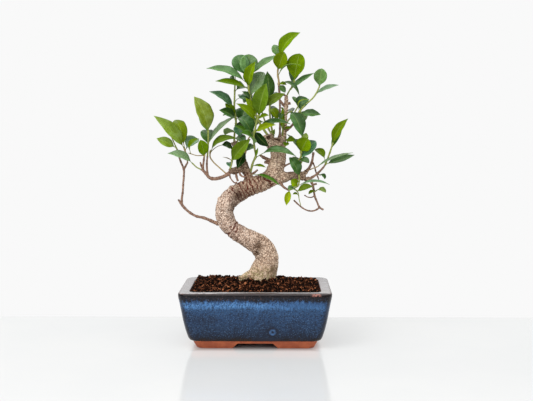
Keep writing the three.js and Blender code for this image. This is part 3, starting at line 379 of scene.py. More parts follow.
TRUNK_LINE: list[Station] = [
    (6, 4, 52, 14.8), (6, 4, 61, 15.4), (6.8, 4, 68, 14.8), (9, 3.5, 74, 13.6), (11, 3, 80, 12.8),
    (11.4, 2.5, 86, 12.2), (9, 2, 92.5, 11.7), (3.5, 1, 98.5, 11), (-4.5, 0, 103.8, 10.2),
    (-14, -1, 109, 9.3), (-23.5, -2, 115.5, 8.8), (-30, -2, 123.5, 9.3), (-32, -2, 132.5, 9.6),
    (-30, -2, 141.5, 9.8), (-24, -1, 149, 10), (-15, 0, 154.8, 9.6), (-4, 0, 159.6, 9.4), (6.5, 0, 163.6, 9),
    (15.5, 0, 169, 9.2), (20.5, 0, 178, 8.9), (22.6, 0, 188, 8.3), (22, 0, 198, 8.1), (20.6, 0, 205, 7.8),
    (20.4, 0, 209.5, 6.8),
]

SURFACE_ROOTS: list[list[Station]] = [
    [(2, 2, 70, 7), (-6, -1, 68.6, 4.8), (-12.5, -4.5, 66.6, 3.4), (-16.5, -8, 65.2, 2.7)],
    [(8, -1, 64, 7), (8, -11, 58.5, 4.4), (6, -19, 52, 2.6)],
    [(14, 2, 64, 7), (21, -1, 60.5, 3.8), (29, -4, 54, 2.4)],
    [(12, 8, 66, 7), (16, 15, 62.4, 4.4), (20, 22, 56.5, 2.8)],
    [(2, 8, 66, 7), (-3, 15, 62.4, 4), (-8, 22, 56.5, 2.6)],
]

LIMBS: list[list[Station]] = [
    # the cut leader beside the trunk's top
    [(18, 1, 198, 6), (14, -0.5, 206.5, 5.4), (11.8, -1.5, 212.6, 4.9)],
    # left limb: a knobbed stump, with a cut end to the left
    [(-5, 0, 160, 6), (-8.5, -0.5, 171, 4.7), (-10.8, -1, 178, 4.2), (-12.8, -1, 184.5, 3.3)],
    [(-10, -1, 175, 3.6), (-17, -1, 177.6, 3.8), (-22.5, -1.5, 175.4, 3.4), (-27.8, -2, 176.2, 3)],
    # limb that climbs to the back left, and its cut end
    [(-12, -0.5, 181, 3.2), (-15, 6, 190, 3), (-19.5, 9.5, 198.5, 3), (-23, 11, 205, 2.9)],
    # right limb
    [(14, 0, 166, 6.5), (27, -1, 169, 6), (34, -2, 170.4, 4.9), (41, -2, 171, 4), (46.5, -2, 171.6, 3.5),
     (50.4, -1, 173.6, 2.5), (52, 0, 175.6, 1.9)],
    [(42, -2, 169.6, 2.8), (50, -3, 167.6, 2), (56, -3, 167.4, 1.8)],
    # stem that climbs from the trunk's top
    [(24.5, 0, 198, 5), (27.4, 1, 207, 3.3), (28.8, 1, 216, 2.3), (29.3, 1, 226, 2), (30.3, 1, 236, 1.9),
     (31, 1, 245, 1.9), (31, 0, 252, 1.6)],
]

TWIGS: list[list[Station]] = [
    # long drooping twig on the left, its bare spur and its fork
    [(-36, -2, 121.5, 3), (-41.5, -2, 122.4, 2), (-48, -1.5, 125.2, 1.7), (-54, -1, 127.4, 1.5),
     (-62, -1, 129.3, 1.4), (-70.5, 0, 134.6, 1.4), (-76, 0, 140.6, 1.5), (-79.8, 0, 146.2, 0.9)],
    [(-75.8, 0, 140.5, 1.2), (-76.2, 0, 146, 1.2), (-75.1, 0, 154, 1.1), (-74.6, 0, 162, 1.1),
     (-73.9, 0, 170, 1.1), (-73.9, 0, 177, 1.2), (-77, 0, 185, 1), (-79.3, 0, 192, 0.95),
     (-80.8, 0, 198, 0.9)],
    [(-73.9, 0, 176, 1), (-72, 0, 180.4, 1), (-69.8, 0, 184.2, 0.95)],
    # branch that leaves the left stump
    [(-26, -2, 174.6, 2.2), (-31, -2, 170.8, 1.9), (-37, -1.5, 168.4, 1.8), (-43, -1, 167.4, 1.8),
     (-47.5, -1, 168.6, 1.8), (-51, -1, 172.6, 1.6), (-54.4, -1, 176.2, 1.5), (-56.4, -1, 176.9, 0.9)],
    [(-49, -1, 170, 1.3), (-50, -0.5, 176, 1.1), (-50.2, 0, 184, 1.05), (-49.6, 0, 190.3, 1)],
    [(-53.8, -1, 175.6, 1.3), (-54, -2, 180, 1.2), (-53.3, -2.6, 185, 1.1), (-52.7, -3, 190, 0.95)],
    [(-54.2, -1, 177, 1), (-55.8, -0.5, 180.4, 0.95), (-57, 0, 184.4, 0.85)],
    # thin twigs under the left stump
    [(-26.6, -2.5, 174, 1), (-26.4, -3.4, 169.5, 0.75), (-24, -3.8, 165.6, 0.7), (-21.4, -3.6, 163.4, 0.7),
     (-19, -3.2, 163.8, 0.9)],
    [(-20.5, -1, 174, 1.4), (-19.8, -2, 169.6, 1.15), (-18.4, -2.6, 165.2, 1.2)],
    [(-17, -2, 175, 1.2), (-15.6, -4, 171.4, 0.95), (-12.4, -4.8, 169.6, 0.9), (-9.4, -4, 170, 1)],
    [(-5.4, -1, 172, 1.4), (-1.4, -2.4, 174, 1.1), (1.8, -3, 176.8, 0.9)],
    # dark snags on the left of the upper trunk
    [(18, 0, 185, 2.4), (12.6, -2.6, 187, 1.9), (8, -4, 189.3, 1.7), (4.2, -5, 191.8, 1.2)],
    [(18, 0, 182.6, 2.2), (12.4, -2.4, 184, 1.7), (8.6, -3, 184.6, 1.4)],
    # twig that feeds the shoots low on the right
    [(24, -3, 165.5, 2), (27.6, -6, 160, 1.3), (31, -7.4, 157.6, 1.1), (34, -8.2, 156.4, 0.95)],
    [(26, -2, 179.4, 1.6), (31, -3.4, 181.6, 1), (36, -4, 183.8, 0.9), (42, -4, 185.4, 0.85)],
    # twigs off the right limb
    [(49.6, -1, 173, 1.8), (54, 0.5, 178, 1.5), (57, 1, 184, 1.35), (58.1, 1, 190, 1.25),
     (58.7, 1, 194.6, 1.1)],
    [(54.6, -3, 167.6, 1.5), (60, -2.4, 170.8, 1.2), (65, -1.2, 175, 1.1), (69, -0.2, 179.4, 1),
     (70.8, 0, 182, 0.95)],
    [(57.2, 1.6, 186, 1), (59.9, 3.6, 180, 0.8), (61.5, 4, 174, 0.8), (64.4, 4, 166.6, 0.75)],
    [(55, -3, 167.4, 1.5), (57.6, -3.8, 162, 1.3), (58.8, -4, 157, 1.2), (60, -4, 150, 1.1),
     (62.4, -4, 144, 1), (65, -4, 138.4, 1), (69, -4, 136, 1)],
    [(58, -3.8, 161.6, 1.1), (62, -4, 162.6, 1.1)],
    [(65, -4, 138.6, 0.9), (62, -4, 136.2, 0.85), (58, -4, 134.8, 0.85), (53, -4, 135.2, 0.8),
     (48, -4, 137.6, 0.8), (43, -4, 141.6, 0.8), (38.6, -4, 145.8, 0.85)],
    [(60, -4, 150.6, 0.8), (57, -4.4, 148.8, 0.6), (53, -4.8, 149, 0.6), (49.4, -5, 151, 0.55)],
    # snags and twigs on the climbing stem
    [(31, 1, 243.4, 1.5), (35.2, 0.6, 244.4, 1.3)],
    [(30.4, 1, 239.6, 1.5), (27.4, 0.4, 243.2, 1.3), (24.9, 0, 247, 1.1)],
    [(31, 0.4, 250, 1.2), (29.6, 0.6, 252.3, 0.95), (26.8, 0.4, 252.6, 0.85), (24.6, -0.4, 250.6, 0.8)],
    [(29, 1, 215.6, 1.7), (33.6, -2.4, 218.8, 1.3), (38.4, -4.8, 223.8, 1.15), (42, -6.2, 231, 1.05),
     (43.8, -7, 235.4, 1)],
    # slim stem that carries the crown's tip
    [(23.2, -1, 207, 2), (24.3, -1.4, 213, 1.2), (24.4, -1.4, 222, 0.95), (24.2, -1.2, 232, 0.95),
     (24.4, -0.6, 242, 0.95), (24, 0, 251, 1.2), (23.5, 0, 262, 1.25)],
]


# ---------- bench tools


def clear_selection() -> None:
    """Leaves edit mode and deselects everything."""
    if bpy.context.mode != "OBJECT":
        bpy.ops.object.mode_set(mode="OBJECT")
    bpy.ops.object.select_all(action="DESELECT")


def pick(*pieces: Piece) -> None:
    """Selects the pieces and makes the first one active."""
    clear_selection()
    for piece in pieces:
        piece.select_set(True)
    bpy.context.view_layer.objects.active = pieces[0]


def start(add_primitive: Callable, **settings: object) -> Piece:
    """Adds a primitive with nothing else selected.

    Args:
        add_primitive: The operator that adds it.
        **settings: The operator's settings.

    Returns:
        The primitive.
    """
    clear_selection()
    add_primitive(**settings)
    return bpy.context.active_object


def start_block(middle: Point, size: Point) -> Piece:
    """Adds a plain block at its place and size, and returns it."""
    block = start(bpy.ops.mesh.primitive_cube_add, size=1, location=middle)
    block.scale = size
    bpy.ops.object.transform_apply()
    return block


def open_mesh() -> None:
    """Opens the active piece in edit mode, with all of it selected."""
    bpy.ops.object.mode_set(mode="EDIT")
    bpy.ops.mesh.select_all(action="SELECT")


def raise_plate(height: float) -> None:
    """Extrudes what is selected straight up, in metres."""
    bpy.ops.mesh.extrude_region_move(TRANSFORM_OT_translate={"value": (0, 0, height)})


def close_mesh() -> None:
    """Leaves edit mode."""
    bpy.ops.object.mode_set(mode="OBJECT")


def run_modifier(piece: Piece, kind: str, **settings: object) -> None:
    """Adds a modifier to a piece and applies it.

    Args:
        piece: The piece to change.
        kind: The modifier's type.
        **settings: The modifier's settings.
    """
    pick(piece)
    bpy.ops.object.modifier_add(type=kind)
    modifier = piece.modifiers[-1]
    for name, value in settings.items():
        setattr(modifier, name, value)
    bpy.ops.object.modifier_apply(modifier=modifier.name)


def join(name: str, pieces: list[Piece]) -> Piece:
    """Joins pieces into one object with its place in its mesh.

    Args:
        name: The joined object's name.
        pieces: What to join.

    Returns:
        The joined object.
    """
    pick(*pieces)
    bpy.ops.object.join()
    bpy.ops.object.transform_apply()
    piece = bpy.context.view_layer.objects.active
    piece.name = name
    piece.data.name = name
    return piece


def hold(name: str, data: bpy.types.ID) -> Piece:
    """Puts a mesh, a lamp or a camera into the scene as an object of that name."""
    piece = bpy.data.objects.new(name, data)
    bpy.context.scene.collection.objects.link(piece)
    return piece


def put_together(name: str, places: Array, faces: list[list[int]]) -> Piece:
    """Makes an object of vertices and faces.

    Args:
        name: The object's name.
        places: Its vertices in millimetres.
        faces: Its faces.

    Returns:
        The object.
    """
    mesh = bpy.data.meshes.new(name)
    mesh.from_pydata((places * MM).tolist(), [], faces)
    mesh.update()
    return hold(name, mesh)


def coat(piece: Piece, *materials: Material) -> None:
    """Gives a piece its materials in place of those that it has."""
    piece.data.materials.clear()
    for material in materials:
        piece.data.materials.append(material)


def set_points(mesh: bpy.types.Mesh, places: Array) -> None:
    """Moves a mesh's vertices to the given places."""
    mesh.vertices.foreach_set("co", np.ascontiguousarray(places, dtype=np.float32).ravel())
    mesh.update()


def get_points(mesh: bpy.types.Mesh) -> Array:
    """Returns a mesh's vertices as an array with one row each."""
    places = np.zeros(len(mesh.vertices) * 3, dtype=np.float32)
    mesh.vertices.foreach_get("co", places)
    return places.reshape(-1, 3).astype(float)


def put_attribute(mesh: bpy.types.Mesh, name: str, values: Array, kind: str = "FLOAT") -> None:
    """Stores one value for each vertex.

    Args:
        mesh: The mesh to store it in.
        name: The attribute's name; one that is there is written over.
        values: One row for each vertex.
        kind: FLOAT, FLOAT_VECTOR or FLOAT_COLOR.
    """
    key = {"FLOAT": "value", "FLOAT_VECTOR": "vector", "FLOAT_COLOR": "color"}[kind]
    layer = mesh.attributes.get(name) or mesh.attributes.new(name, kind, "POINT")
    layer.data.foreach_set(key, np.ascontiguousarray(values, dtype=np.float32).ravel())


def smooth_step(low: float, high: float, value: float | Array) -> float | Array:
    """Returns 0 under low, 1 over high, and a smooth rise between them."""
    share = np.clip((value - low) / (high - low), 0, 1)
    return share * share * (3 - 2 * share)


def unit(rows: Array) -> Array:
    """Returns a direction, or each row of directions, at length 1."""
    return rows / np.linalg.norm(rows, axis=-1, keepdims=True)


def smooth_line(stations: list[Station], per_span: int) -> Array:
    """Draws a centripetal Catmull-Rom curve through stations.

    Args:
        stations: Points of (x, y, z, radius) in millimetres.
        per_span: Samples from one station to the next.

    Returns:
        Rows of x, y, z and radius in metres.
    """
    given = np.array(stations, dtype=float)
    padded = np.vstack([2 * given[0] - given[1], given, 2 * given[-1] - given[-2]])
    rows = []
    for span in range(len(given) - 1):
        p0, p1, p2, p3 = padded[span : span + 4]
        pairs = ((p0, p1), (p1, p2), (p2, p3))
        before, here, after = (max(np.linalg.norm(b[:3] - a[:3]) ** 0.5, 1e-4) for a, b in pairs)
        slope_in = ((p1 - p0) / before - (p2 - p0) / (before + here) + (p2 - p1) / here) * here
        slope_out = ((p2 - p1) / here - (p3 - p1) / (here + after) + (p3 - p2) / after) * here
        for step in range(per_span):
            t = step / per_span
            row = p1 + slope_in * t + (3 * (p2 - p1) - 2 * slope_in - slope_out) * t**2
            row += (2 * (p1 - p2) + slope_in + slope_out) * t**3
            row[3] = p1[3] + (p2[3] - p1[3]) * t
            rows.append(row)
    rows.append(given[-1])
    return np.array(rows) * MM


def run_along(line: Array) -> Array:
    """Returns how far along a line each of its rows is."""
    steps = np.linalg.norm(np.diff(line[:, :3], axis=0), axis=1)
    return np.concatenate([[0], np.cumsum(steps)])


def at_share(line: Array, share: float) -> Array:
    """Returns the place on a line at a share of its length."""
    along = run_along(line)
    return np.array([np.interp(share * along[-1], along, line[:, axis]) for axis in range(3)])


def frames_along(centres: Array) -> list[tuple[Array, Array, Array]]:
    """Finds the directions along a line, which turn without twist.

    Args:
        centres: The line's points.

    Returns:
        The unit directions ahead, across and aside at each point.
    """
    frames = []
    across = np.array([0.0, -1.0, 0.0])
    for ahead in unit(np.gradient(centres, axis=0)):
        across = across - ahead * across.dot(ahead)
        across /= np.linalg.norm(across)
        frames.append((ahead, across, np.cross(ahead, across)))
    return frames


def tube(line: Array, roundness: int) -> Piece:
    """Models a round bar along a line.

    Args:
        line: Rows of x, y, z and radius in metres.
        roundness: The bevel's resolution; the bar has about four sides and two more for each.

    Returns:
        The bar as a mesh object.
    """
    piece = start(bpy.ops.curve.primitive_nurbs_path_add)
    curve = piece.data
    curve.splines.clear()
    spline = curve.splines.new("POLY")
    spline.points.add(len(line) - 1)
    for point, (x, y, z, radius) in zip(spline.points, line):
        point.co = (x, y, z, 1)
        point.radius = radius
    curve.dimensions = "3D"
    curve.bevel_depth = 1
    curve.bevel_resolution = roundness
    curve.use_fill_caps = True
    pick(piece)
    bpy.ops.object.convert(target="MESH")
    return bpy.context.active_object


def ring_faces(rings: int, sides: int) -> list[list[int]]:
    """Lists the faces of a closed bar whose vertices are given ring by ring.

    Args:
        rings: How many rings it has.
        sides: How many vertices a ring has.

    Returns:
        The faces, the two caps last.
    """
    faces = []
    for ring in range(rings - 1):
        for k in range(sides):
            a, b = ring * sides + k, ring * sides + (k + 1) % sides
            faces.append([a, a + sides, b + sides, b])
    faces.append(list(range(sides)))
    faces.append([(rings - 1) * sides + k for k in reversed(range(sides))])
    return faces


# ---------- finishes


@dataclass(frozen=True)
class Level:
    """A number that a node tree works out at each point; sums on it add their own nodes."""

    nodes: "Nodes"
    socket: Socket

    def __add__(self, other: "Level | float") -> "Level":
        """Returns the sum."""
        return self.nodes.math("ADD", self, other)

    def __sub__(self, other: "Level | float") -> "Level":
        """Returns the difference."""
        return self.nodes.math("SUBTRACT", self, other)

    def __rsub__(self, other: float) -> "Level":
        """Returns the difference from a plain number."""
        return self.nodes.math("SUBTRACT", other, self)

    def __mul__(self, other: "Level | float") -> "Level":
        """Returns the product."""
        return self.nodes.math("MULTIPLY", self, other)

    def __truediv__(self, other: float) -> "Level":
        """Returns the quotient."""
        return self.nodes.math("DIVIDE", self, other)

    def __pow__(self, other: float) -> "Level":
        """Returns the power."""
        return self.nodes.math("POWER", self, other)

    def __abs__(self) -> "Level":
        """Returns the size without its sign."""
        return self.nodes.math("ABSOLUTE", self)


class Nodes:
    """A node tree that is built up one node at a time."""

    def __init__(self, tree: bpy.types.NodeTree) -> None:
        """Takes the tree to build in."""
        self.tree = tree

    def add(self, kind: str, inputs: dict | None = None, **settings: object) -> bpy.types.Node:
        """Adds a node.

        Args:
            kind: The node's type, without its ShaderNode prefix.
            inputs: Values, levels or sockets for its inputs, by name or number.
            **settings: The node's settings.

        Returns:
            The node.
        """
        node = self.tree.nodes.new("ShaderNode" + kind)
        for name, value in settings.items():
            setattr(node, name, value)
        for name, value in (inputs or {}).items():
            self.plug(node.inputs[name], value)
        return node

    def plug(self, socket: Socket, value: object) -> None:
        """Gives an input its value.

        Args:
            socket: The input.
            value: A level or a socket to link to it, or a value of its own.
        """
        if isinstance(value, Level):
            value = value.socket
        if isinstance(value, bpy.types.NodeSocket):
            self.tree.links.new(value, socket)
        elif isinstance(value, tuple) and len(value) == 3 and socket.type == "RGBA":
            socket.default_value = (*value, 1)
        else:
            socket.default_value = value

    def place(self, stretch: Point = (1, 1, 1), attribute: str = "") -> Socket:
        """Gives the place that a pattern is laid out by.

        Args:
            stretch: What its three parts are multiplied by.
            attribute: The attribute to read in place of Object coordinates.

        Returns:
            The place.
        """
        if attribute:
            source = self.add("Attribute", attribute_name=attribute).outputs["Vector"]
        else:
            source = self.add("TexCoord").outputs["Object"]
        return self.vector("MULTIPLY", source, stretch)

    def mark(self, name: str) -> Level:
        """Returns an attribute that holds one number for each vertex."""
        return Level(self, self.add("Attribute", attribute_name=name).outputs["Fac"])

    def axes(self, vector: Socket) -> list[Level]:
        """Returns a vector's three parts."""
        return [Level(self, part) for part in self.add("SeparateXYZ", {0: vector}).outputs]

    def grain(self, place: Socket, size: float, detail: float = 3, rough: float = 0.55) -> Level:
        """Returns noise whose blotches are about size millimetres wide."""
        inputs = {"Vector": place, "Scale": 1 / (size * MM), "Detail": detail, "Roughness": rough}
        return Level(self, self.add("TexNoise", inputs).outputs["Fac"])

    def patches(self, low: float, high: float, *grain: object) -> Level:
        """Returns the noise that grain makes, cut to patches by a rise from low to high."""
        return self.rise(self.grain(*grain), low, high)

    def specks(self, place: Socket, size: float) -> tuple[Level, Level]:
        """Returns the distance to the middle of cells about size millimetres wide, and their own numbers."""
        node = self.add("TexVoronoi", {"Vector": place, "Scale": 1 / (size * MM)})
        return Level(self, node.outputs["Distance"]), self.axes(node.outputs["Color"])[0]

    def rise(self, level: Level, low: float, high: float) -> Level:
        """Returns a smooth step from 0 at low to 1 at high; it falls where low is over high."""
        flip = low > high
        inputs = {"Value": level, "From Min": min(low, high), "From Max": max(low, high)}
        inputs |= {"To Min": float(flip), "To Max": float(not flip)}
        return Level(self, self.add("MapRange", inputs, interpolation_type="SMOOTHSTEP").outputs["Result"])

    def rise_mm(self, level: Level, low: float, high: float) -> Level:
        """Returns the same step for a level in metres, from low to high in millimetres."""
        return self.rise(level, low * MM, high * MM)

    def band(self, level: Level, begin: float, full: float, fade: float, end: float) -> Level:
        """Returns 1 from full to fade, and 0 before begin and after end, all in millimetres."""
        return self.rise_mm(level, begin, full) * self.rise_mm(level, end, fade)

    def math(self, operation: str, first: object, second: object = 0.0) -> Level:
        """Returns the result of a sum on one or two values."""
        return Level(self, self.add("Math", {0: first, 1: second}, operation=operation).outputs[0])

    def vector(self, operation: str, first: object, second: object) -> Socket:
        """Returns the result of a sum on two vectors."""
        return self.add("VectorMath", {0: first, 1: second}, operation=operation).outputs[0]

    def mix(self, share: object, first: object, second: object, blend: str = "MIX") -> Socket:
        """Returns a blend of two colours."""
        node = self.add("Mix", data_type="RGBA", blend_type=blend)
        for index, value in ((0, share), (6, first), (7, second)):
            self.plug(node.inputs[index], value)
        return node.outputs[2]

    def ramp(self, level: Level, stops: list | tuple) -> Socket:
        """Returns a colour for a level between 0 and 1.

        Args:
            level: The level.
            stops: Levels with their colours.

        Returns:
            The colour's socket.
        """
        node = self.add("ValToRGB", {"Fac": level})
        steps = node.color_ramp.elements
        while len(steps) < len(stops):
            steps.new(0.5)
        for step, (position, colour) in zip(steps, stops):
            step.position = position
            step.color = (*colour, 1)
        return node.outputs["Color"]


class Finish(Nodes):
    """The nodes of a material, whose colours are laid one over another."""

    def __init__(self, name: str, colour: Colour = (1, 1, 1)) -> None:
        """Makes a material with a Principled shader and its first colour."""
        self.material = bpy.data.materials.new(name)
        self.material.use_nodes = True
        self.colour: Colour | Socket = colour
        super().__init__(self.material.node_tree)

    def lay(self, share: object, colour: object, blend: str = "MIX") -> None:
        """Lays a share of a colour over what is there."""
        self.colour = self.mix(share, self.colour, colour, blend)

    def dress(self, **inputs: object) -> Material:
        """Finishes the material.

        Args:
            **inputs: What the shader takes beside the colour, with an underscore for a space.

        Returns:
            The material.
        """
        shader = self.tree.nodes["Principled BSDF"]
        for name, value in {"Base_Color": self.colour, **inputs}.items():
            self.plug(shader.inputs[name.replace("_", " ")], value)
        return self.material

    def bumps(self, height: Level, depth: float, strength: float) -> Socket:
        """Returns the normal of a surface that height raises by depth, in millimetres."""
        inputs = {"Height": height, "Distance": depth * MM, "Strength": strength}
        return self.add("Bump", inputs).outputs["Normal"]


@dataclass(frozen=True)
class GlazeFinish:
    """Speckled blue glaze that runs down in streaks and breaks brown and black over the pot's edges.

    Attributes:
        height: The pot's height.
        corner: Radius of its upright corners.
        top_half: Half its length and half its depth at the rim, a little over.
        lean: How far its wall leans out for each metre of height.
        bands: Heights in millimetres with the glaze's colour there.
        mark: Where the pale pool low on its front is, across and up.
    """

    height: float = 57.9 * MM
    corner: float = 7 * MM
    top_half: tuple[float, float] = (76.4 * MM, 53.4 * MM)
    lean: float = 8.6 / 45.8
    bands: tuple[tuple[float, Colour], ...] = (
        (8.0, paint(40, 25, 18)),
        (10.4, paint(20, 16, 18)),
        (13.0, paint(22, 28, 43)),
        (20.0, paint(31, 50, 76)),
        (32.0, paint(36, 61, 94)),
        (41.0, paint(42, 72, 108)),
        (45.5, paint(68, 114, 166)),
        (48.2, paint(48, 82, 126)),
        (50.6, paint(18, 20, 30)),
        (56.6, paint(14, 10, 11)),
        (57.2, paint(98, 66, 56)),
        (57.75, paint(174, 170, 170)),
    )
    mark: tuple[float, float] = (17.5 * MM, 18.5 * MM)

    def make(self) -> Material:
        """Returns the glaze."""
        glaze = Finish("speckled_blue_glaze")
        spot = glaze.place()
        x, y, z = glaze.axes(spot)
        self.run_down(glaze, z)
        self.speckle(glaze, z)
        self.streak_top(glaze, x, z)
        self.pool_at_corners(glaze, x, y, z)
        self.thumb_mark(glaze, x, y, z)
        self.break_on_rim(glaze, x, y, z)
        bumps = glaze.bumps(glaze.grain(spot, 6, 2), 0.5, 0.6)
        return glaze.dress(Roughness=0.14, Specular_IOR_Level=0.22, Normal=bumps)

    def run_down(self, glaze: Finish, z: Level) -> None:
        """Lays the bands of colour up the wall, which sag and run under the rim.

        Args:
            glaze: The glaze so far.
            z: Height.
        """
        runs = (glaze.grain(glaze.place((1, 1, 0.16)), 2.2, 4, 0.65) - 0.5) * (15 * MM)
        sags = (glaze.grain(glaze.place((1, 1, 0.1)), 26, 2) - 0.5) * (8 * MM)
        level = z + (runs + sags) * glaze.rise_mm(z, 56, 50)
        stops = [(mm * MM / self.height, tone) for mm, tone in self.bands]
        glaze.colour = glaze.ramp(level / self.height, stops)

    def speckle(self, glaze: Finish, z: Level) -> None:
        """Clouds the wall low down, and specks it dark and pale.

        Args:
            glaze: The glaze so far.
            z: Height.
        """
        spot = glaze.place()
        wall = glaze.band(z, 9, 16, 50, 55)
        clouds = glaze.patches(0.47, 0.62, glaze.place((1, 1, 0.8)), 17, 4)
        glaze.lay(clouds * glaze.rise_mm(z, 44, 30) * 0.68, paint(26, 36, 56))
        dark = glaze.patches(0.47, 0.6, spot, 1.4, 3, 0.6)
        glaze.lay(dark * wall * 0.72, paint(18, 24, 38))
        fine, chance = glaze.specks(spot, 1.0)
        pale = glaze.rise(fine, 0.4, 0.15) * glaze.rise(chance, 0.45, 0.6)
        glaze.lay(pale * wall * 0.72, paint(86, 122, 164))

    def streak_top(self, glaze: Finish, x: Level, z: Level) -> None:
        """Streaks the bright band under the rim, thinner to the right, and breaks brown under the lip.

        Args:
            glaze: The glaze so far.
            x: Place from left to right.
            z: Height.
        """
        near_top = glaze.band(z, 41, 45.5, 47.5, 50.5)
        thinner = near_top * glaze.rise_mm(x, -5, 45) * 0.6
        glaze.lay(thinner, paint(42, 72, 110))
        streaks = glaze.patches(0.5, 0.66, glaze.place((1, 1, 0.4)), 1.2, 3, 0.6)
        glaze.lay(streaks * near_top * (0.65 - thinner), paint(100, 148, 198))
        burnt = glaze.patches(0.56, 0.68, glaze.place((1, 1, 0.7)), 1.3, 4, 0.7)
        glaze.lay(burnt * glaze.band(z, 50, 52, 55.6, 56.6) * 0.4, paint(118, 92, 86))

    def pool_at_corners(self, glaze: Finish, x: Level, y: Level, z: Level) -> None:
        """Darkens the glaze down the pot's four upright corners.

        Args:
            glaze: The glaze so far.
            x: Place from left to right.
            y: Place from front to back.
            z: Height.
        """
        lean = (self.height - z) * self.lean
        from_side, from_face = (half - lean - abs(axis) for half, axis in zip(self.top_half, (x, y)))
        wobble = glaze.grain(glaze.place((1, 1, 0.3)), 4, 3) * (5 * MM)
        nearest = glaze.math("MAXIMUM", from_side, from_face) + wobble
        share = glaze.rise(nearest, self.corner + 3 * MM, 3 * MM)
        glaze.lay(share * (glaze.rise_mm(z, 56.5, 52) * 0.85), paint(22, 19, 22))

    def thumb_mark(self, glaze: Finish, x: Level, y: Level, z: Level) -> None:
        """Adds the pale pool of glaze, with dark round it, low on the pot's front.

        Args:
            glaze: The glaze so far.
            x: Place from left to right.
            y: Place from front to back.
            z: Height.
        """
        across, up = x - self.mark[0], z - self.mark[1]
        wobble = (glaze.grain(glaze.place(), 3.4, 4) - 0.5) * (3.4 * MM)
        reach = glaze.math("SQRT", across**2.0 + up**2.0) + wobble
        front = glaze.rise_mm(y, -30, -40)
        glaze.lay(glaze.rise_mm(reach, 8, 4) * front * 0.8, paint(22, 27, 42))
        uneven = glaze.patches(0.3, 0.66, glaze.place(), 3, 2) * 0.5 + 0.5
        pool = glaze.band(reach, 0.4, 1.6, 2.7, 3.9) * uneven * front
        glaze.lay(pool * 0.6, paint(76, 116, 168))

    def break_on_rim(self, glaze: Finish, x: Level, y: Level, z: Level) -> None:
        """Breaks the pale lip with brown flecks and whiter runs, and wears its front edge dark.

        Args:
            glaze: The glaze so far.
            x: Place from left to right.
            y: Place from front to back.
            z: Height.
        """
        lip = glaze.rise_mm(z, 56.6, 57.3)
        flecks = glaze.patches(0.6, 0.7, glaze.place(), 2.2, 4, 0.65)
        glaze.lay(flecks * lip * 0.65, paint(104, 76, 66))
        runs = glaze.patches(0.52, 0.66, glaze.place((0.35, 1, 1)), 3, 3)
        glaze.lay(runs * lip * 0.55, paint(200, 200, 203))
        creep = (glaze.grain(glaze.place(), 9, 4, 0.65) - 0.5) * (7 * MM)
        left_part = glaze.rise_mm(x, 5, -50) * (-3.6 * MM)
        edge = glaze.rise_mm(y - creep - left_part, -47.1, -48.5)
        glaze.lay(edge * glaze.rise_mm(z, 56, 56.8) * 0.9, paint(40, 32, 33))
        chipped = glaze.band(x, 54, 57, 62, 66) * glaze.patches(0.4, 0.6, glaze.place(), 2, 3)
        front = glaze.rise_mm(y, -51, -52) * glaze.rise_mm(z, 54.6, 55.6)
        glaze.lay(chipped * front * 0.7, paint(176, 116, 104))


@dataclass(frozen=True)
class TerracottaFinish:
    """Bare fired clay of the pot's foot and inside."""

    clay: Colour = paint(184, 98, 62)
    scorched: Colour = paint(164, 84, 54)
    grit: Colour = paint(196, 132, 98)

    def make(self) -> Material:
        """Returns the clay."""
        clay = Finish("bare_terracotta", self.scorched)
        spot = clay.place()
        clay.lay(clay.patches(0.4, 0.65, spot, 9, 4), self.clay)
        grit, _ = clay.specks(spot, 0.6)
        clay.lay(clay.rise(grit, 0.3, 0.05) * 0.25, self.grit)
        bumps = clay.bumps(clay.grain(spot, 0.8, 4), 0.25, 0.7)
        return clay.dress(Roughness=0.85, Normal=bumps)


@dataclass(frozen=True)
class SoilFinish:
    """Dark peat; each crumb has a shade of its own, from the first of these colours to the last, with painted
    shade: lighter on high clods, darker low down.
    """

    shades: tuple[tuple[float, Colour], ...] = (
        (0.08, paint(9, 4, 2)),
        (0.42, paint(40, 19, 11)),
        (0.72, paint(94, 54, 34)),
        (1.0, paint(166, 104, 70)),
    )

    def make(self) -> Material:
        """Returns the soil."""
        soil = Finish("peat_soil")
        spot = soil.place()
        mottle = soil.mark("shade") + (soil.grain(spot, 1.2, 4) - 0.5)
        soil.colour = soil.ramp(mottle, self.shades)
        bumps = soil.bumps(soil.grain(spot, 0.5, 3), 0.3, 0.8)
        return soil.dress(Roughness=0.92, Specular_IOR_Level=0.06, Normal=bumps)


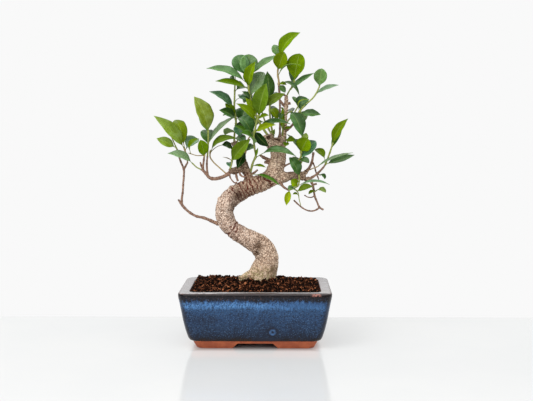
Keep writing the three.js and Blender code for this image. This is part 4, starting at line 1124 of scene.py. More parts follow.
@dataclass(frozen=True)
class BarkFinish:
    """Pale warty bark; "grown" holds each point's place on a straightened trunk, "wart" how proud it stands.

    Attributes:
        name: The material's name.
        base: Colour of its blotches.
        shaded: Colour between the blotches.
        gap: Colour of the gaps between warts.
        pore: Colour of its raised pores.
        pore_size: Their size in millimetres.
        sway: How far their edges wander, in millimetres.
        crease: Colour of the ring creases.
        aged: How the colour changes up the trunk, by share of 200 mm.
    """

    name: str = "flecked_bark"
    base: Colour = paint(234, 210, 188)
    shaded: Colour = paint(208, 181, 159)
    gap: Colour = paint(104, 78, 61)
    pore: Colour = paint(254, 244, 232)
    pore_size: float = 1.9
    sway: float = 1.1
    crease: Colour = paint(92, 42, 28)
    aged: tuple[tuple[float, Colour], ...] = (
        (0, paint(255, 250, 238)),
        (0.4, paint(248, 247, 250)),
        (0.6, paint(246, 246, 248)),
        (0.68, paint(196, 186, 176)),
        (0.8, paint(222, 214, 205)),
        (0.88, paint(255, 252, 246)),
    )

    def make(self) -> Material:
        """Returns the bark."""
        bark = Finish(self.name, self.shaded)
        grown = bark.place((1, 1, 2.2), "grown")
        sway = bark.add("TexNoise", {"Vector": grown, "Scale": 700.0, "Detail": 2.0}).outputs["Color"]
        warped = bark.vector("ADD", grown, bark.vector("MULTIPLY", sway, (self.sway * MM,) * 3))
        pores, chance = bark.specks(warped, self.pore_size)
        raised = bark.rise(pores, 0.42, 0.16) * bark.rise(chance, 0.3, 0.45)
        wart = bark.mark("wart")
        bark.lay(bark.patches(0.38, 0.62, bark.place((1, 1, 1), "grown"), 8, 4), self.base)
        bark.lay(bark.patches(0.51, 0.4, warped, 1.9, 3, 0.65) * 0.86, self.gap)
        bark.lay(bark.rise(wart, 0.42, 0.05) * 0.7, self.gap)
        bark.lay(raised * bark.rise(wart, 0.3, 0.7) * 0.95, self.pore)
        self.age(bark, grown, warped)
        relief = raised + bark.grain(warped, 1.6, 5, 0.65) * 1.6
        bumps = bark.bumps(relief, 0.4, 0.9)
        return bark.dress(Roughness=0.8, Specular_IOR_Level=0.25, Normal=bumps)

    def age(self, bark: Finish, grown: Socket, warped: Socket) -> None:
        """Shades the bark by height, and adds its creases, its moss, and dirt mixed with painted shade.

        Args:
            bark: The bark so far.
            grown: Place on the straightened trunk.
            warped: The same place, swayed.
        """
        along = bark.axes(bark.place((1, 1, 5), "grown"))[2]
        bark.lay(1.0, bark.ramp(along, self.aged), "MULTIPLY")
        broken = bark.patches(0.28, 0.48, warped, 3.2, 2)
        bark.lay(bark.rise(bark.mark("crease"), 0.2, 0.9) * broken, self.crease)
        # Darkening mark: the bark is multiplied by grey-brown for dirt, the hollow and the cut scars, and as
        # painted shade in the elbow's crook and on its inner side.
        stained_and_shaded = bark.mix(1.0, bark.colour, paint(128, 114, 100), "MULTIPLY")
        bark.lay(bark.mark("stain_and_shade"), stained_and_shaded)
        mossy = bark.mark("moss") * bark.patches(0.4, 0.6, grown, 3, 4)
        bark.lay(mossy * 0.6, paint(126, 124, 70))


@dataclass(frozen=True)
class LeafFinish:
    """Glossy upper face or dull underside of a leaf, with its midrib and side veins."""

    name: str
    gloss: float
    vein_gain: float
    paleness: float
    veins: float = 9.0
    vein_slant: float = 1.5

    def make(self) -> Material:
        """Returns one face of the leaves."""
        leaf = Finish(self.name)
        across, along, _ = leaf.axes(leaf.add("UVMap", uv_map="leaf").outputs["UV"])
        leaf.colour = tint = leaf.add("Attribute", attribute_name="tint").outputs["Color"]
        from_rib = abs(across - 0.5) * 2.0
        rib = leaf.rise(from_rib, 0.07, 0.02)
        wave = leaf.math("COSINE", (along * self.veins - from_rib * self.vein_slant) * TURN)
        vein = leaf.rise(wave, 0.93, 1.0) * leaf.rise(from_rib, 0.95, 0.5)
        mottle = leaf.grain(leaf.place(), 6, 4)
        leaf.lay(leaf.rise(mottle, 0.35, 0.7), leaf.mix(0.26, tint, paint(24, 50, 12)))
        flecks = leaf.patches(0.5, 0.68, leaf.place(), 1.4, 3, 0.65)
        leaf.lay(flecks * 0.3, paint(26, 52, 14))
        waxy = leaf.rise(leaf.axes(tint)[2], 0.0, 0.012)
        gleam = leaf.rise(mottle, 0.55, 0.35) * waxy
        leaf.lay(gleam * 0.12, paint(150, 184, 146))
        leaf.lay(self.paleness, paint(150, 176, 116))
        pale = leaf.mix(0.6, tint, paint(190, 206, 120))
        leaf.lay(rib * self.vein_gain, pale)
        leaf.lay(vein * (self.vein_gain * 0.25), pale)
        sheen = waxy * 0.22 + 0.03
        bumps = leaf.bumps(rib + vein * 0.3, -0.3, 0.6)
        return leaf.dress(Roughness=self.gloss, Specular_IOR_Level=sheen, Normal=bumps)


@dataclass(frozen=True)
class StemFinish:
    """Young stems and leaf stalks."""

    fleck: Colour = paint(196, 186, 140)

    def make(self) -> Material:
        """Returns the stems' skin."""
        stem = Finish("young_stem")
        spot = stem.place()
        stem.colour = stem.add("Attribute", attribute_name="tint").outputs["Color"]
        stem.lay(stem.patches(0.5, 0.7, spot, 0.9, 3) * 0.35, self.fleck)
        bumps = stem.bumps(stem.grain(spot, 0.7, 3), 0.15, 0.6)
        return stem.dress(Roughness=0.5, Normal=bumps)


@dataclass(frozen=True)
class NetFinish:
    """Matt black plastic."""

    black: Colour = paint(24, 25, 27)
    scuffed: Colour = paint(44, 45, 48)

    def make(self) -> Material:
        """Returns the plastic."""
        plastic = Finish("black_net_plastic", self.black)
        plastic.lay(plastic.patches(0.45, 0.7, plastic.place(), 1, 4), self.scuffed)
        return plastic.dress(Roughness=0.6)


# ---------- pot


@dataclass
class Pot:
    """The glazed pot: a rounded rectangle drawn up from its foot, over the rim and down inside.

    Attributes:
        stations: (half length, height) of each ring from the foot up and over, in millimetres.
        narrower: How much less the half depth is than the half length.
        corner: Radius of the upright corners.
        foot_wall: Thickness of the foot.
        recess_top: Height of the hollow under the pot.
        arch: The foot's openings: width at the table, width above, and height.
        drain_x: How far the drain holes are from the middle.
        drain_radius: Their radius.
        glaze_edge: Height at which the glaze starts.
        inside: Heights of the bare part inside.
    """

    narrower: float = 23.05
    corner: float = 7
    stations: tuple[tuple[float, float], ...] = (
        (58.7, 0), (59.1, 0.5), (62.7, 7.6), (63.1, 8.0), (64.4, 8.2), (65.6, 9.0), (66.6, 10.6),
        (67.4, 12.6), (69.6, 20), (71.6, 29), (73.1, 38), (74.2, 44), (74.7, 47), (75.5, 51), (75.95, 53.8),
        (76.0, 55.4), (75.8, 56.6), (75.2, 57.3), (74.3, 57.7), (73.0, 57.9), (67.2, 57.8), (66.0, 57.7),
        (65.3, 57.2), (65.0, 56.4), (65.0, 50.8), (66.6, 44.8), (61.0, 19), (58.0, 15),
    )
    foot_wall: float = 9
    recess_top: float = 6.8
    arch: tuple[float, float, float] = (45.6, 35.4, 5.3)
    drain_x: float = 28
    drain_radius: float = 6
    glaze_edge: float = 8.1
    inside: tuple[float, float] = (14.4, 56.3)

    def build(self) -> None:
        """Builds the pot as one closed piece."""
        pot = self.draw_up()
        for cutter in (self.recess_block(), self.arch_bar(), *self.drain_plugs()):
            run_modifier(pot, "BOOLEAN", operation="DIFFERENCE", object=cutter, solver="EXACT")
            bpy.data.objects.remove(cutter)
        pot.name = "glazed_pot"
        self.dress(pot)
        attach(pot, "root")
        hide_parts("pot")
        LOG.info("pot: %d faces", len(pot.data.polygons))

    def draw_up(self) -> Piece:
        """Draws the pot up from a plate with rounded corners, ring by ring.

        Returns:
            The pot before anything is cut out of it.
        """
        half, _ = self.stations[0]
        pot = start(bpy.ops.mesh.primitive_plane_add, size=2, location=(0, 0, 0))
        pot.scale = (half * MM, (half - self.narrower) * MM, 1)
        bpy.ops.object.transform_apply()
        open_mesh()
        bpy.ops.mesh.bevel(offset=self.corner * MM, segments=8, affect="VERTICES")
        for (before, low), (after, high) in zip(self.stations, self.stations[1:]):
            raise_plate((high - low) * MM)
            wider = (after / before, (after - self.narrower) / (before - self.narrower), 1)
            bpy.ops.transform.resize(value=wider, center_override=(0, 0, high * MM))
        bpy.ops.mesh.select_all(action="SELECT")
        bpy.ops.mesh.normals_make_consistent(inside=False)
        close_mesh()
        return pot

    def recess_block(self) -> Piece:
        """Returns the block with rounded edges that hollows out the underside."""
        half = self.stations[0][0] - self.foot_wall
        below = 5
        size = (2 * half * MM, 2 * (half - self.narrower) * MM, (self.recess_top + below) * MM)
        block = start_block((0, 0, (self.recess_top - below) / 2 * MM), size)
        open_mesh()
        bpy.ops.mesh.bevel(offset=4 * MM, segments=4, affect="EDGES")
        close_mesh()
        return block

    def arch_bar(self) -> Piece:
        """Returns the bar that cuts the foot's front and back openings."""
        bottom, top, height = self.arch
        bar = start_block((0, 0, height / 2 * MM), (bottom * MM, 120 * MM, height * MM))
        places = get_points(bar.data)
        upper = places[:, 2] > height / 2 * MM
        places[upper, 0] *= top / bottom
        places[~upper, 0] *= 1 + (bottom - top) / bottom / height
        places[~upper, 2] -= 1 * MM
        set_points(bar.data, places)
        sharp = {"limit_method": "ANGLE", "angle_limit": math.radians(30)}
        run_modifier(bar, "BEVEL", width=1.4 * MM, segments=4, **sharp)
        return bar

    def drain_plugs(self) -> list[Piece]:
        """Returns the two plugs that cut the drain holes."""
        plugs = []
        size = {"vertices": 32, "radius": self.drain_radius * MM, "depth": 12 * MM}
        for side in (-1, 1):
            place = (side * self.drain_x * MM, 0, 11 * MM)
            plugs.append(start(bpy.ops.mesh.primitive_cylinder_add, location=place, **size))
            bpy.ops.object.transform_apply()
        return plugs

    def dress(self, pot: Piece) -> None:
        """Glazes the wall and the lip, and leaves the foot and the inside bare.

        Args:
            pot: The pot.
        """
        coat(pot, GlazeFinish().make(), TerracottaFinish().make())
        low, high = self.inside
        for face in pot.data.polygons:
            x, y, z = face.center / MM
            inward = face.normal.x * x + face.normal.y * y < 0
            inside = low < z < high and (inward or face.normal.z > 0.9)
            drain = self.recess_top - 0.1 < z < 15.1 and abs(y) < 8 and abs(x) < 36
            face.material_index = int(z < self.glaze_edge or inside or drain)
        pick(pot)
        bpy.ops.object.shade_smooth_by_angle(angle=math.radians(38))


@dataclass
class DrainNets:
    """The two squares of net over the drain holes, in millimetres."""

    size: float = 16
    centre_x: float = 28
    centre_z: float = 15.8
    meshes: int = 6
    strand: float = 0.85

    def build(self) -> None:
        """Weaves the two nets."""
        plastic = NetFinish().make()
        count = {"x_subdivisions": self.meshes, "y_subdivisions": self.meshes}
        for side, name in ((-1, "left"), (1, "right")):
            place = (side * self.centre_x * MM, 0, self.centre_z * MM)
            span = (self.size - self.strand) * MM
            net = start(bpy.ops.mesh.primitive_grid_add, size=span, location=place, **count)
            bpy.ops.object.transform_apply()
            strands = {"thickness": self.strand * MM, "use_boundary": True, "use_even_offset": False}
            run_modifier(net, "WIREFRAME", **strands)
            net.name = f"net_{name}"
            coat(net, plastic)
            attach(net, "root")
            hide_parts(f"drain_mesh_{name}")


# ---------- soil


@dataclass
class SoilBed:
    """The bed of peat: a rough cushion with loose crumbs and fibres on it.

    Attributes:
        half_length: Half the bed's length in millimetres.
        half_depth: Half its depth.
        foot: The same two at its bottom.
        corner: Radius of its corners.
        bottom: Height of its bottom.
        front: Height of its top at the front.
        back: Height of its top at the back.
        depth: From front to back, for that slope.
        mound: How far it rises round the trunk.
        mound_place: Where that rise is.
        mound_reach: How wide and how deep it is.
        crumbs: How many crumbs lie on it.
        fibres: How many fibres lie on it.
        fibre_steps: How many bends a fibre has.
    """

    half_length: float = 64.1
    half_depth: float = 42.1
    foot: tuple[float, float] = (56, 34)
    corner: float = 4.0
    bottom: float = 15.6
    front: float = 57.4
    back: float = 59.5
    depth: float = 84.8
    mound: float = 9.4
    mound_place: tuple[float, float] = (7, 3)
    mound_reach: tuple[float, float] = (28, 20)
    crumbs: int = 5200
    fibres: int = 620
    fibre_steps: int = 5

    def build(self) -> None:
        """Builds the bed with its crumbs as one piece."""
        soil = join("peat_bed", [self.cushion(), self.scatter_crumbs(), self.scatter_fibres()])
        coat(soil, SoilFinish().make())
        soil.data.polygons.foreach_set("material_index", [0] * len(soil.data.polygons))
        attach(soil, "root")
        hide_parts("soil")
        LOG.info("soil: %d faces", len(soil.data.polygons))

    def lumps(self, x: float, y: float) -> float:
        """Returns the height of the bed's clods over its smooth shape."""
        edge = min(self.half_length - abs(x), self.half_depth - abs(y))
        clods = noise.fractal(Vector((x * 0.22, y * 0.22, 3.7)), 0.8, 2.1, 4)
        return 2.1 * clods * float(smooth_step(0, 5, edge)) - 0.9 * float(smooth_step(2.5, 0, edge))

    def top(self, x: float, y: float) -> float:
        """Returns the height of the bed's top, clods and all, over a place in millimetres."""
        slope = self.front + (self.back - 0.012 * x - self.front) * (y + self.depth / 2) / self.depth
        far_x = (x - self.mound_place[0]) / self.mound_reach[0]
        far_y = (y - self.mound_place[1]) / self.mound_reach[1]
        return slope + self.mound * math.exp(-far_x * far_x - far_y * far_y) + self.lumps(x, y)

    def cushion(self) -> Piece:
        """Returns the closed bed under the crumbs."""
        bed = start(bpy.ops.mesh.primitive_grid_add, x_subdivisions=150, y_subdivisions=100, size=2)
        open_mesh()
        raise_plate(1)
        close_mesh()
        places = get_points(bed.data)
        for row in places:
            upper = row[2] > 0.5
            row[0], row[1] = self.inside_corner(row[0] * self.half_length, row[1] * self.half_depth)
            row[2] = self.top(row[0], row[1]) if upper else self.bottom
            if not upper:
                row[0] *= self.foot[0] / self.half_length
                row[1] *= self.foot[1] / self.half_depth
        set_points(bed.data, places * MM)
        # The bed under the crumbs takes the darkest shade: dark damp peat, and painted shade in the gaps
        # between the crumbs.
        put_attribute(bed.data, "shade", np.full(len(places), 0.05))
        return bed

    def inside_corner(self, x: float, y: float) -> tuple[float, float]:
        """Draws a place in to the bed's rounded corner.

        Args:
            x: Where the place is from left to right, in millimetres.
            y: Where it is from front to back.

        Returns:
            Where it is drawn to.
        """
        corner_x, corner_y = self.half_length - self.corner, self.half_depth - self.corner
        over_x, over_y = abs(x) - corner_x, abs(y) - corner_y
        if over_x <= 0 or over_y <= 0:
            return x, y
        scale = max(over_x, over_y) / math.hypot(over_x, over_y)
        return math.copysign(corner_x + over_x * scale, x), math.copysign(corner_y + over_y * scale, y)

    def scatter_crumbs(self) -> Piece:
        """Strews copies of one rough crumb over the bed.

        Returns:
            The crumbs.
        """
        dice = random.Random(11)
        crumb = start(bpy.ops.mesh.primitive_ico_sphere_add, subdivisions=1, radius=1)
        shape = get_points(crumb.data)
        faces = np.array([list(face.vertices) for face in crumb.data.polygons])
        bpy.data.objects.remove(crumb)
        places, triangles, shades = [], [], []
        for index in range(self.crumbs):
            x = dice.uniform(-1, 1) * (self.half_length - 1.2)
            y = dice.uniform(-1, 1) * (self.half_depth - 1.2)
            size = 0.4 + 1.05 * dice.random() ** 2.2
            rough = np.array([[dice.uniform(0.6, 1.25) for _ in range(3)] for _ in shape])
            turn = Vector([dice.gauss(0, 1) for _ in range(3)]).to_track_quat("Z", "Y").to_matrix()
            stretch = np.array([dice.uniform(0.8, 2.1), dice.uniform(0.6, 1.0), dice.uniform(0.45, 0.8)])
            bits = (shape * rough * stretch * size) @ np.array(turn)
            places.append(bits + np.array([x, y, self.top(x, y) + size * 0.25]))
            triangles.append(faces + index * len(shape))
            # Painted shade: each crumb's random shade is raised on high clods and lowered in low places.
            shades.append(np.full(len(shape), max(0.0, dice.gauss(0.22, 0.38) + 0.16 * self.lumps(x, y))))
        return self.heap("crumbs", places, np.vstack(triangles).tolist(), shades)

    def scatter_fibres(self) -> Piece:
        """Lays short bent fibres with three sides each on the bed.

        Returns:
            The fibres.
        """
        dice = random.Random(23)
        places, triangles, shades = [], [], []
        ring = [(math.cos(k * TURN / 3), math.sin(k * TURN / 3)) for k in range(3)]
        faces = self.fibre_faces()
        for index in range(self.fibres):
            x = dice.uniform(-1, 1) * (self.half_length - 8)
            y = dice.uniform(-1, 1) * (self.half_depth - 8)
            heading, bend = dice.uniform(0, TURN), dice.uniform(-0.5, 0.5)
            length, radius = dice.uniform(2.5, 7.5), dice.uniform(0.12, 0.3)
            rows = []
            for _ in range(self.fibre_steps):
                heading += bend
                ahead_x, ahead_y = math.cos(heading), math.sin(heading)
                x += ahead_x * length / self.fibre_steps
                y += ahead_y * length / self.fibre_steps
                z = self.top(x, y) + 0.7 + dice.uniform(-0.2, 0.4)
                for side, up in ring:
                    rows.append((x - ahead_y * side * radius, y + ahead_x * side * radius, z + up * radius))
            triangles += [[corner + index * len(rows) for corner in face] for face in faces]
            places.append(np.array(rows))
            shades.append(np.full(len(rows), dice.uniform(0.35, 0.95)))
        return self.heap("fibres", places, triangles, shades)

    def fibre_faces(self) -> list[list[int]]:
        """Returns the triangles of one fibre, its two ends last."""
        faces = []
        for step in range(self.fibre_steps - 1):
            for k in range(3):
                a, b = step * 3 + k, step * 3 + (k + 1) % 3
                faces += [[a, b, b + 3], [a, b + 3, a + 3]]
        last = (self.fibre_steps - 1) * 3
        return faces + [[2, 1, 0], [last, last + 1, last + 2]]

    def heap(self, name: str, places: list[Array], faces: list, shades: list[Array]) -> Piece:
        """Makes one object of many bits.

        Args:
            name: The object's name.
            places: Each bit's vertices in millimetres.
            faces: All their faces.
            shades: Each bit's shade, once for each vertex.

        Returns:
            The object.
        """
        heap = put_together(name, np.vstack(places), faces)
        put_attribute(heap.data, "shade", np.concatenate(shades))
        return heap


# ---------- wood


@dataclass
class Wood:
    """Trunk, surface roots, limbs and twigs.

    Attributes:
        voxel: How finely the trunk and its limbs are fused, in metres.
        plump: How much thicker roots and limbs are drawn, for what the smoothing takes off.
        creases: Where rings crease the bark: distance up the trunk in millimetres, and strength.
        crease_reach: Half the width of a crease, in millimetres.
        trunk_reach: How far from the trunk's middle line its creases go.
        scars: Old cuts: place in millimetres, radius, and how dark.
        spurs: Small knobs on the outline: place, radius and height in millimetres.
        axis: The trunk's middle line.
    """

    voxel: float = 0.58 * MM
    plump: float = 0.25 * MM
    creases: tuple[tuple[float, float], ...] = (
        (24, 0.35), (30, 0.3), (52, 0.3), (60, 0.35), (68, 0.4), (75, 0.5), (79, 0.7), (82.5, 1.15),
        (86, 0.6), (94, 0.35), (104, 0.4), (112, 0.5), (117, 0.6), (121, 0.75), (125, 0.9), (129, 0.8),
        (133, 0.85), (136.5, 1.0), (140, 1.0), (144, 1.0), (148.5, 0.8), (152.5, 1.0), (156, 0.85),
        (160, 0.95), (165, 0.6), (171, 0.5), (177, 0.5), (183, 0.5), (189, 0.45), (195, 0.45), (200, 0.5),
    )
    crease_reach: float = 1.5
    trunk_reach: float = 17
    scars: tuple[tuple[Point, float, float], ...] = (
        ((12.9, -5.5, 209.6), 2.6, 1.0),
        ((24, -7, 207.6), 2.4, 0.8),
        ((20.5, -7.4, 208.6), 2.2, 0.7),
        ((17, -7, 207.6), 1.8, 0.5),
    )
    spurs: tuple[tuple[Point, float, float], ...] = (
        ((-25.5, -2, 159), 2.0, 2.0),
        ((-37, -2, 147), 1.8, 1.7),
        ((-15, -2, 164.5), 1.8, 1.2),
    )
    axis: Array = field(default_factory=lambda: smooth_line(TRUNK_LINE, 12))

    def build(self) -> None:
        """Builds the whole of the wood as one piece."""
        barks = (BarkFinish().make(), self.twig_bark())
        core = self.fuse_core()
        coat(core, *barks)
        self.mark_growth(core, self.axis)
        self.sculpt(core)
        twigs = [self.twig(line) for line in TWIGS]
        for twig in twigs:
            coat(twig, *barks)
            twig.data.polygons.foreach_set("material_index", [1] * len(twig.data.polygons))
        wood = join("bark_and_wood", [core, *twigs])
        pick(wood)
        bpy.ops.object.shade_smooth()
        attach(wood, "root")
        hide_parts("trunk")
        LOG.info("wood: %d faces", len(wood.data.polygons))

    def fuse_core(self) -> Piece:
        """Returns the trunk, its roots and its limbs fused into one skin."""
        bars = [tube(self.axis, 10)]
        for line in SURFACE_ROOTS + LIMBS:
            rows = smooth_line(line, 5)
            rows[:, 3] += self.plump
            bars.append(tube(rows, 5))
        core = join("core", bars)
        run_modifier(core, "REMESH", mode="VOXEL", voxel_size=self.voxel)
        run_modifier(core, "SMOOTH", factor=0.5, iterations=6)
        return core

    def twig_bark(self) -> Material:
        """Returns the finer, pinker bark of the twigs."""
        wood = {"base": paint(164, 132, 114), "shaded": paint(126, 98, 86), "gap": paint(80, 56, 48)}
        wood |= {"pore": paint(220, 198, 182), "crease": paint(98, 60, 46)}
        return BarkFinish("twig_bark", pore_size=0.8, **wood).make()

    def mark_growth(self, piece: Piece, axis: Array) -> None:
        """Stores each vertex's place on the straightened wood, and clears its marks.

        Args:
            piece: The wood.
            axis: Its middle line, as rows of x, y, z and radius.
        """
        tree = KDTree(len(axis))
        for index, row in enumerate(axis):
            tree.insert(row[:3], index)
        tree.balance()
        along = run_along(axis)
        frames = frames_along(axis[:, :3])
        grown = np.zeros((len(piece.data.vertices), 3))
        for row, vertex in zip(grown, piece.data.vertices):
            _, index, _ = tree.find(vertex.co)
            offset = np.array(vertex.co) - axis[index, :3]
            ahead, side, aside = frames[index]
            row[:] = offset.dot(side), offset.dot(aside), along[index] + offset.dot(ahead)
        put_attribute(piece.data, "grown", grown, "FLOAT_VECTOR")
        for mark, level in (("wart", 0.6), ("crease", 0), ("stain_and_shade", 0), ("moss", 0)):
            put_attribute(piece.data, mark, np.full(len(grown), level))

    def sculpt(self, core: Piece) -> None:
        """Raises swellings and warts, and presses in the ring creases, hollows and scars.

        Args:
            core: The fused trunk.
        """
        mesh = core.data
        places = get_points(mesh)
        normals = np.array([list(vertex.normal) for vertex in mesh.vertices])
        grown = np.zeros(len(places) * 3, dtype=np.float32)
        mesh.attributes["grown"].data.foreach_get("vector", grown)
        grown = grown.reshape(-1, 3).astype(float) / MM
        marks = np.zeros((len(places), 4))
        lift = np.zeros(len(places))
        for index, (side, up, along) in enumerate(grown):
            place = places[index] / MM
            depth = self.crease_depth(side, up, along)
            near, next_near = noise.voronoi(Vector((side / 2.9, up / 2.9, along / 1.6)))[0][:2]
            wart = float(smooth_step(0.02, 0.42, next_near - near))
            hollow, scar = self.hollow_depth(place)
            swell = noise.fractal(Vector((side, up, along)) * 0.055, 0.9, 2.0, 3)
            lift[index] = 0.9 * swell + 0.4 * (wart - 0.6) - 0.9 * depth - 1.3 * hollow - 1.1 * scar
            lift[index] += self.knobs(place)
            grime_and_shade, moss = self.stains_and_shade(place)
            # The hollow and the cut scars add to the dirt and the painted shade of the elbow in the darkening
            # mark.
            marks[index] = wart, min(1.0, depth * 1.4), min(1.0, grime_and_shade + hollow + 1.6 * scar), moss
        set_points(mesh, places + normals * (lift * MM)[:, None])
        for column, mark in enumerate(("wart", "crease", "stain_and_shade", "moss")):
            put_attribute(mesh, mark, marks[:, column])

    def crease_depth(self, side: float, up: float, along: float) -> float:
        """Works out how deep a ring crease is.

        Args:
            side: Place across the straightened trunk, in millimetres.
            up: Place square to that.
            along: Distance up the trunk.

        Returns:
            The depth, 0 to 1.
        """
        depth = 0.0
        if side**2 + up**2 > self.trunk_reach**2:
            return depth
        spot = Vector((side, up, along))
        wobble = noise.noise(spot * 0.11) * 3.6 + noise.noise(spot * 0.4) * 1.1
        for ring, strength in self.creases:
            gap = abs(along + wobble - ring) / self.crease_reach
            if gap < 1:
                patch = 0.75 + 1.1 * noise.noise(Vector((side * 0.12, up * 0.12, ring)))
                patch += max(0.0, strength - 0.7)
                depth = max(depth, strength * min(1.0, max(0.0, patch)) * (1 - gap))
        return depth

    def hollow_depth(self, place: Array) -> tuple[float, float]:
        """Works out how deep the old branch hollow and the cut scars are.

        Args:
            place: A place on the wood, in millimetres.

        Returns:
            The depth of each, 0 to 1.
        """
        x, y, z = place
        hollow = 0.0
        if y < 0:
            wide = math.exp(-(((x - 3) / 4.4) ** 2) - ((z - 99) / 6.6) ** 2)
            low = math.exp(-(((x - 0.6) / 2) ** 2) - ((z - 91.5) / 3) ** 2)
            hollow = max(wide, 1.15 * low)
        scar = 0.0
        for centre, radius, dark in self.scars:
            gap = np.linalg.norm(place - np.array(centre)) / radius
            scar = max(scar, dark * float(smooth_step(1.25, 0.6, gap)))
        return hollow, scar

    def on_limb(self, x: float, z: float, start_x: float) -> float:
        """Returns 1 on the right limb, from start_x on, and 0 off it."""
        near = smooth_step(182, 178, z) * smooth_step(160, 164, z)
        return float(smooth_step(start_x, start_x + 8, x) * near)

    def knobs(self, place: Array) -> float:
        """Works out how far spurs and the limbs' knobbly parts stand out.

        Args:
            place: A place on the wood, in millimetres.

        Returns:
            The height in millimetres.
        """
        x, _, z = place
        stump = float(smooth_step(-5, -10, x) * smooth_step(168, 174, z))
        rise = (1.3 * stump + 1.5 * self.on_limb(x, z, 30)) * noise.noise(Vector(place) / 2.4)
        for centre, radius, height in self.spurs:
            rise += height * math.exp(-((np.linalg.norm(place - np.array(centre)) / radius) ** 2))
        return rise

    def stains_and_shade(self, place: Array) -> tuple[float, float]:
        """Works out how strong the dirt and the painted shade are, and the moss.

        Args:
            place: A place on the wood, in millimetres.

        Returns:
            The strength of each.
        """
        x, _, z = place
        # crook and inner are painted shade on the inner side of the trunk's elbow; the stump and the right
        # limb are darkened too.
        crook = math.exp(-(((x + 19) / 6) ** 2) - ((z - 151) / 7) ** 2)
        inner = math.exp(-(((x + 22) / 4) ** 2) - ((z - 139) / 9) ** 2)
        stump = float(smooth_step(-4, -9, x) * smooth_step(168, 173, z))
        moss = float(smooth_step(84, 66, z))
        return max(crook, 0.85 * inner, 0.42 * stump, 0.62 * self.on_limb(x, z, 28)), moss

    def twig(self, line: list[Station]) -> Piece:
        """Models one twig with its swollen joints.

        Args:
            line: Its stations.

        Returns:
            The twig.
        """
        rows = smooth_line(line, 6)
        dice = random.Random(round(line[-1][0] * 10 + line[-1][2]))
        spacing = dice.uniform(7, 10) * MM
        joints = np.exp(-(((run_along(rows) / spacing) % 1 - 0.5) / 0.09) ** 2)
        knobs = np.array([noise.noise(Vector(row[:3]) / (3 * MM)) for row in rows])
        rows[:, 3] *= 0.96 + 0.22 * joints + 0.12 * knobs
        twig = tube(rows, 3)
        self.mark_growth(twig, rows)
        gaps = get_points(twig.data)[:, None] - rows[:, :3]
        nearest = np.argmin(np.linalg.norm(gaps, axis=2), axis=1)
        put_attribute(twig.data, "crease", 0.6 * joints[nearest])
        return twig


# ---------- leaves


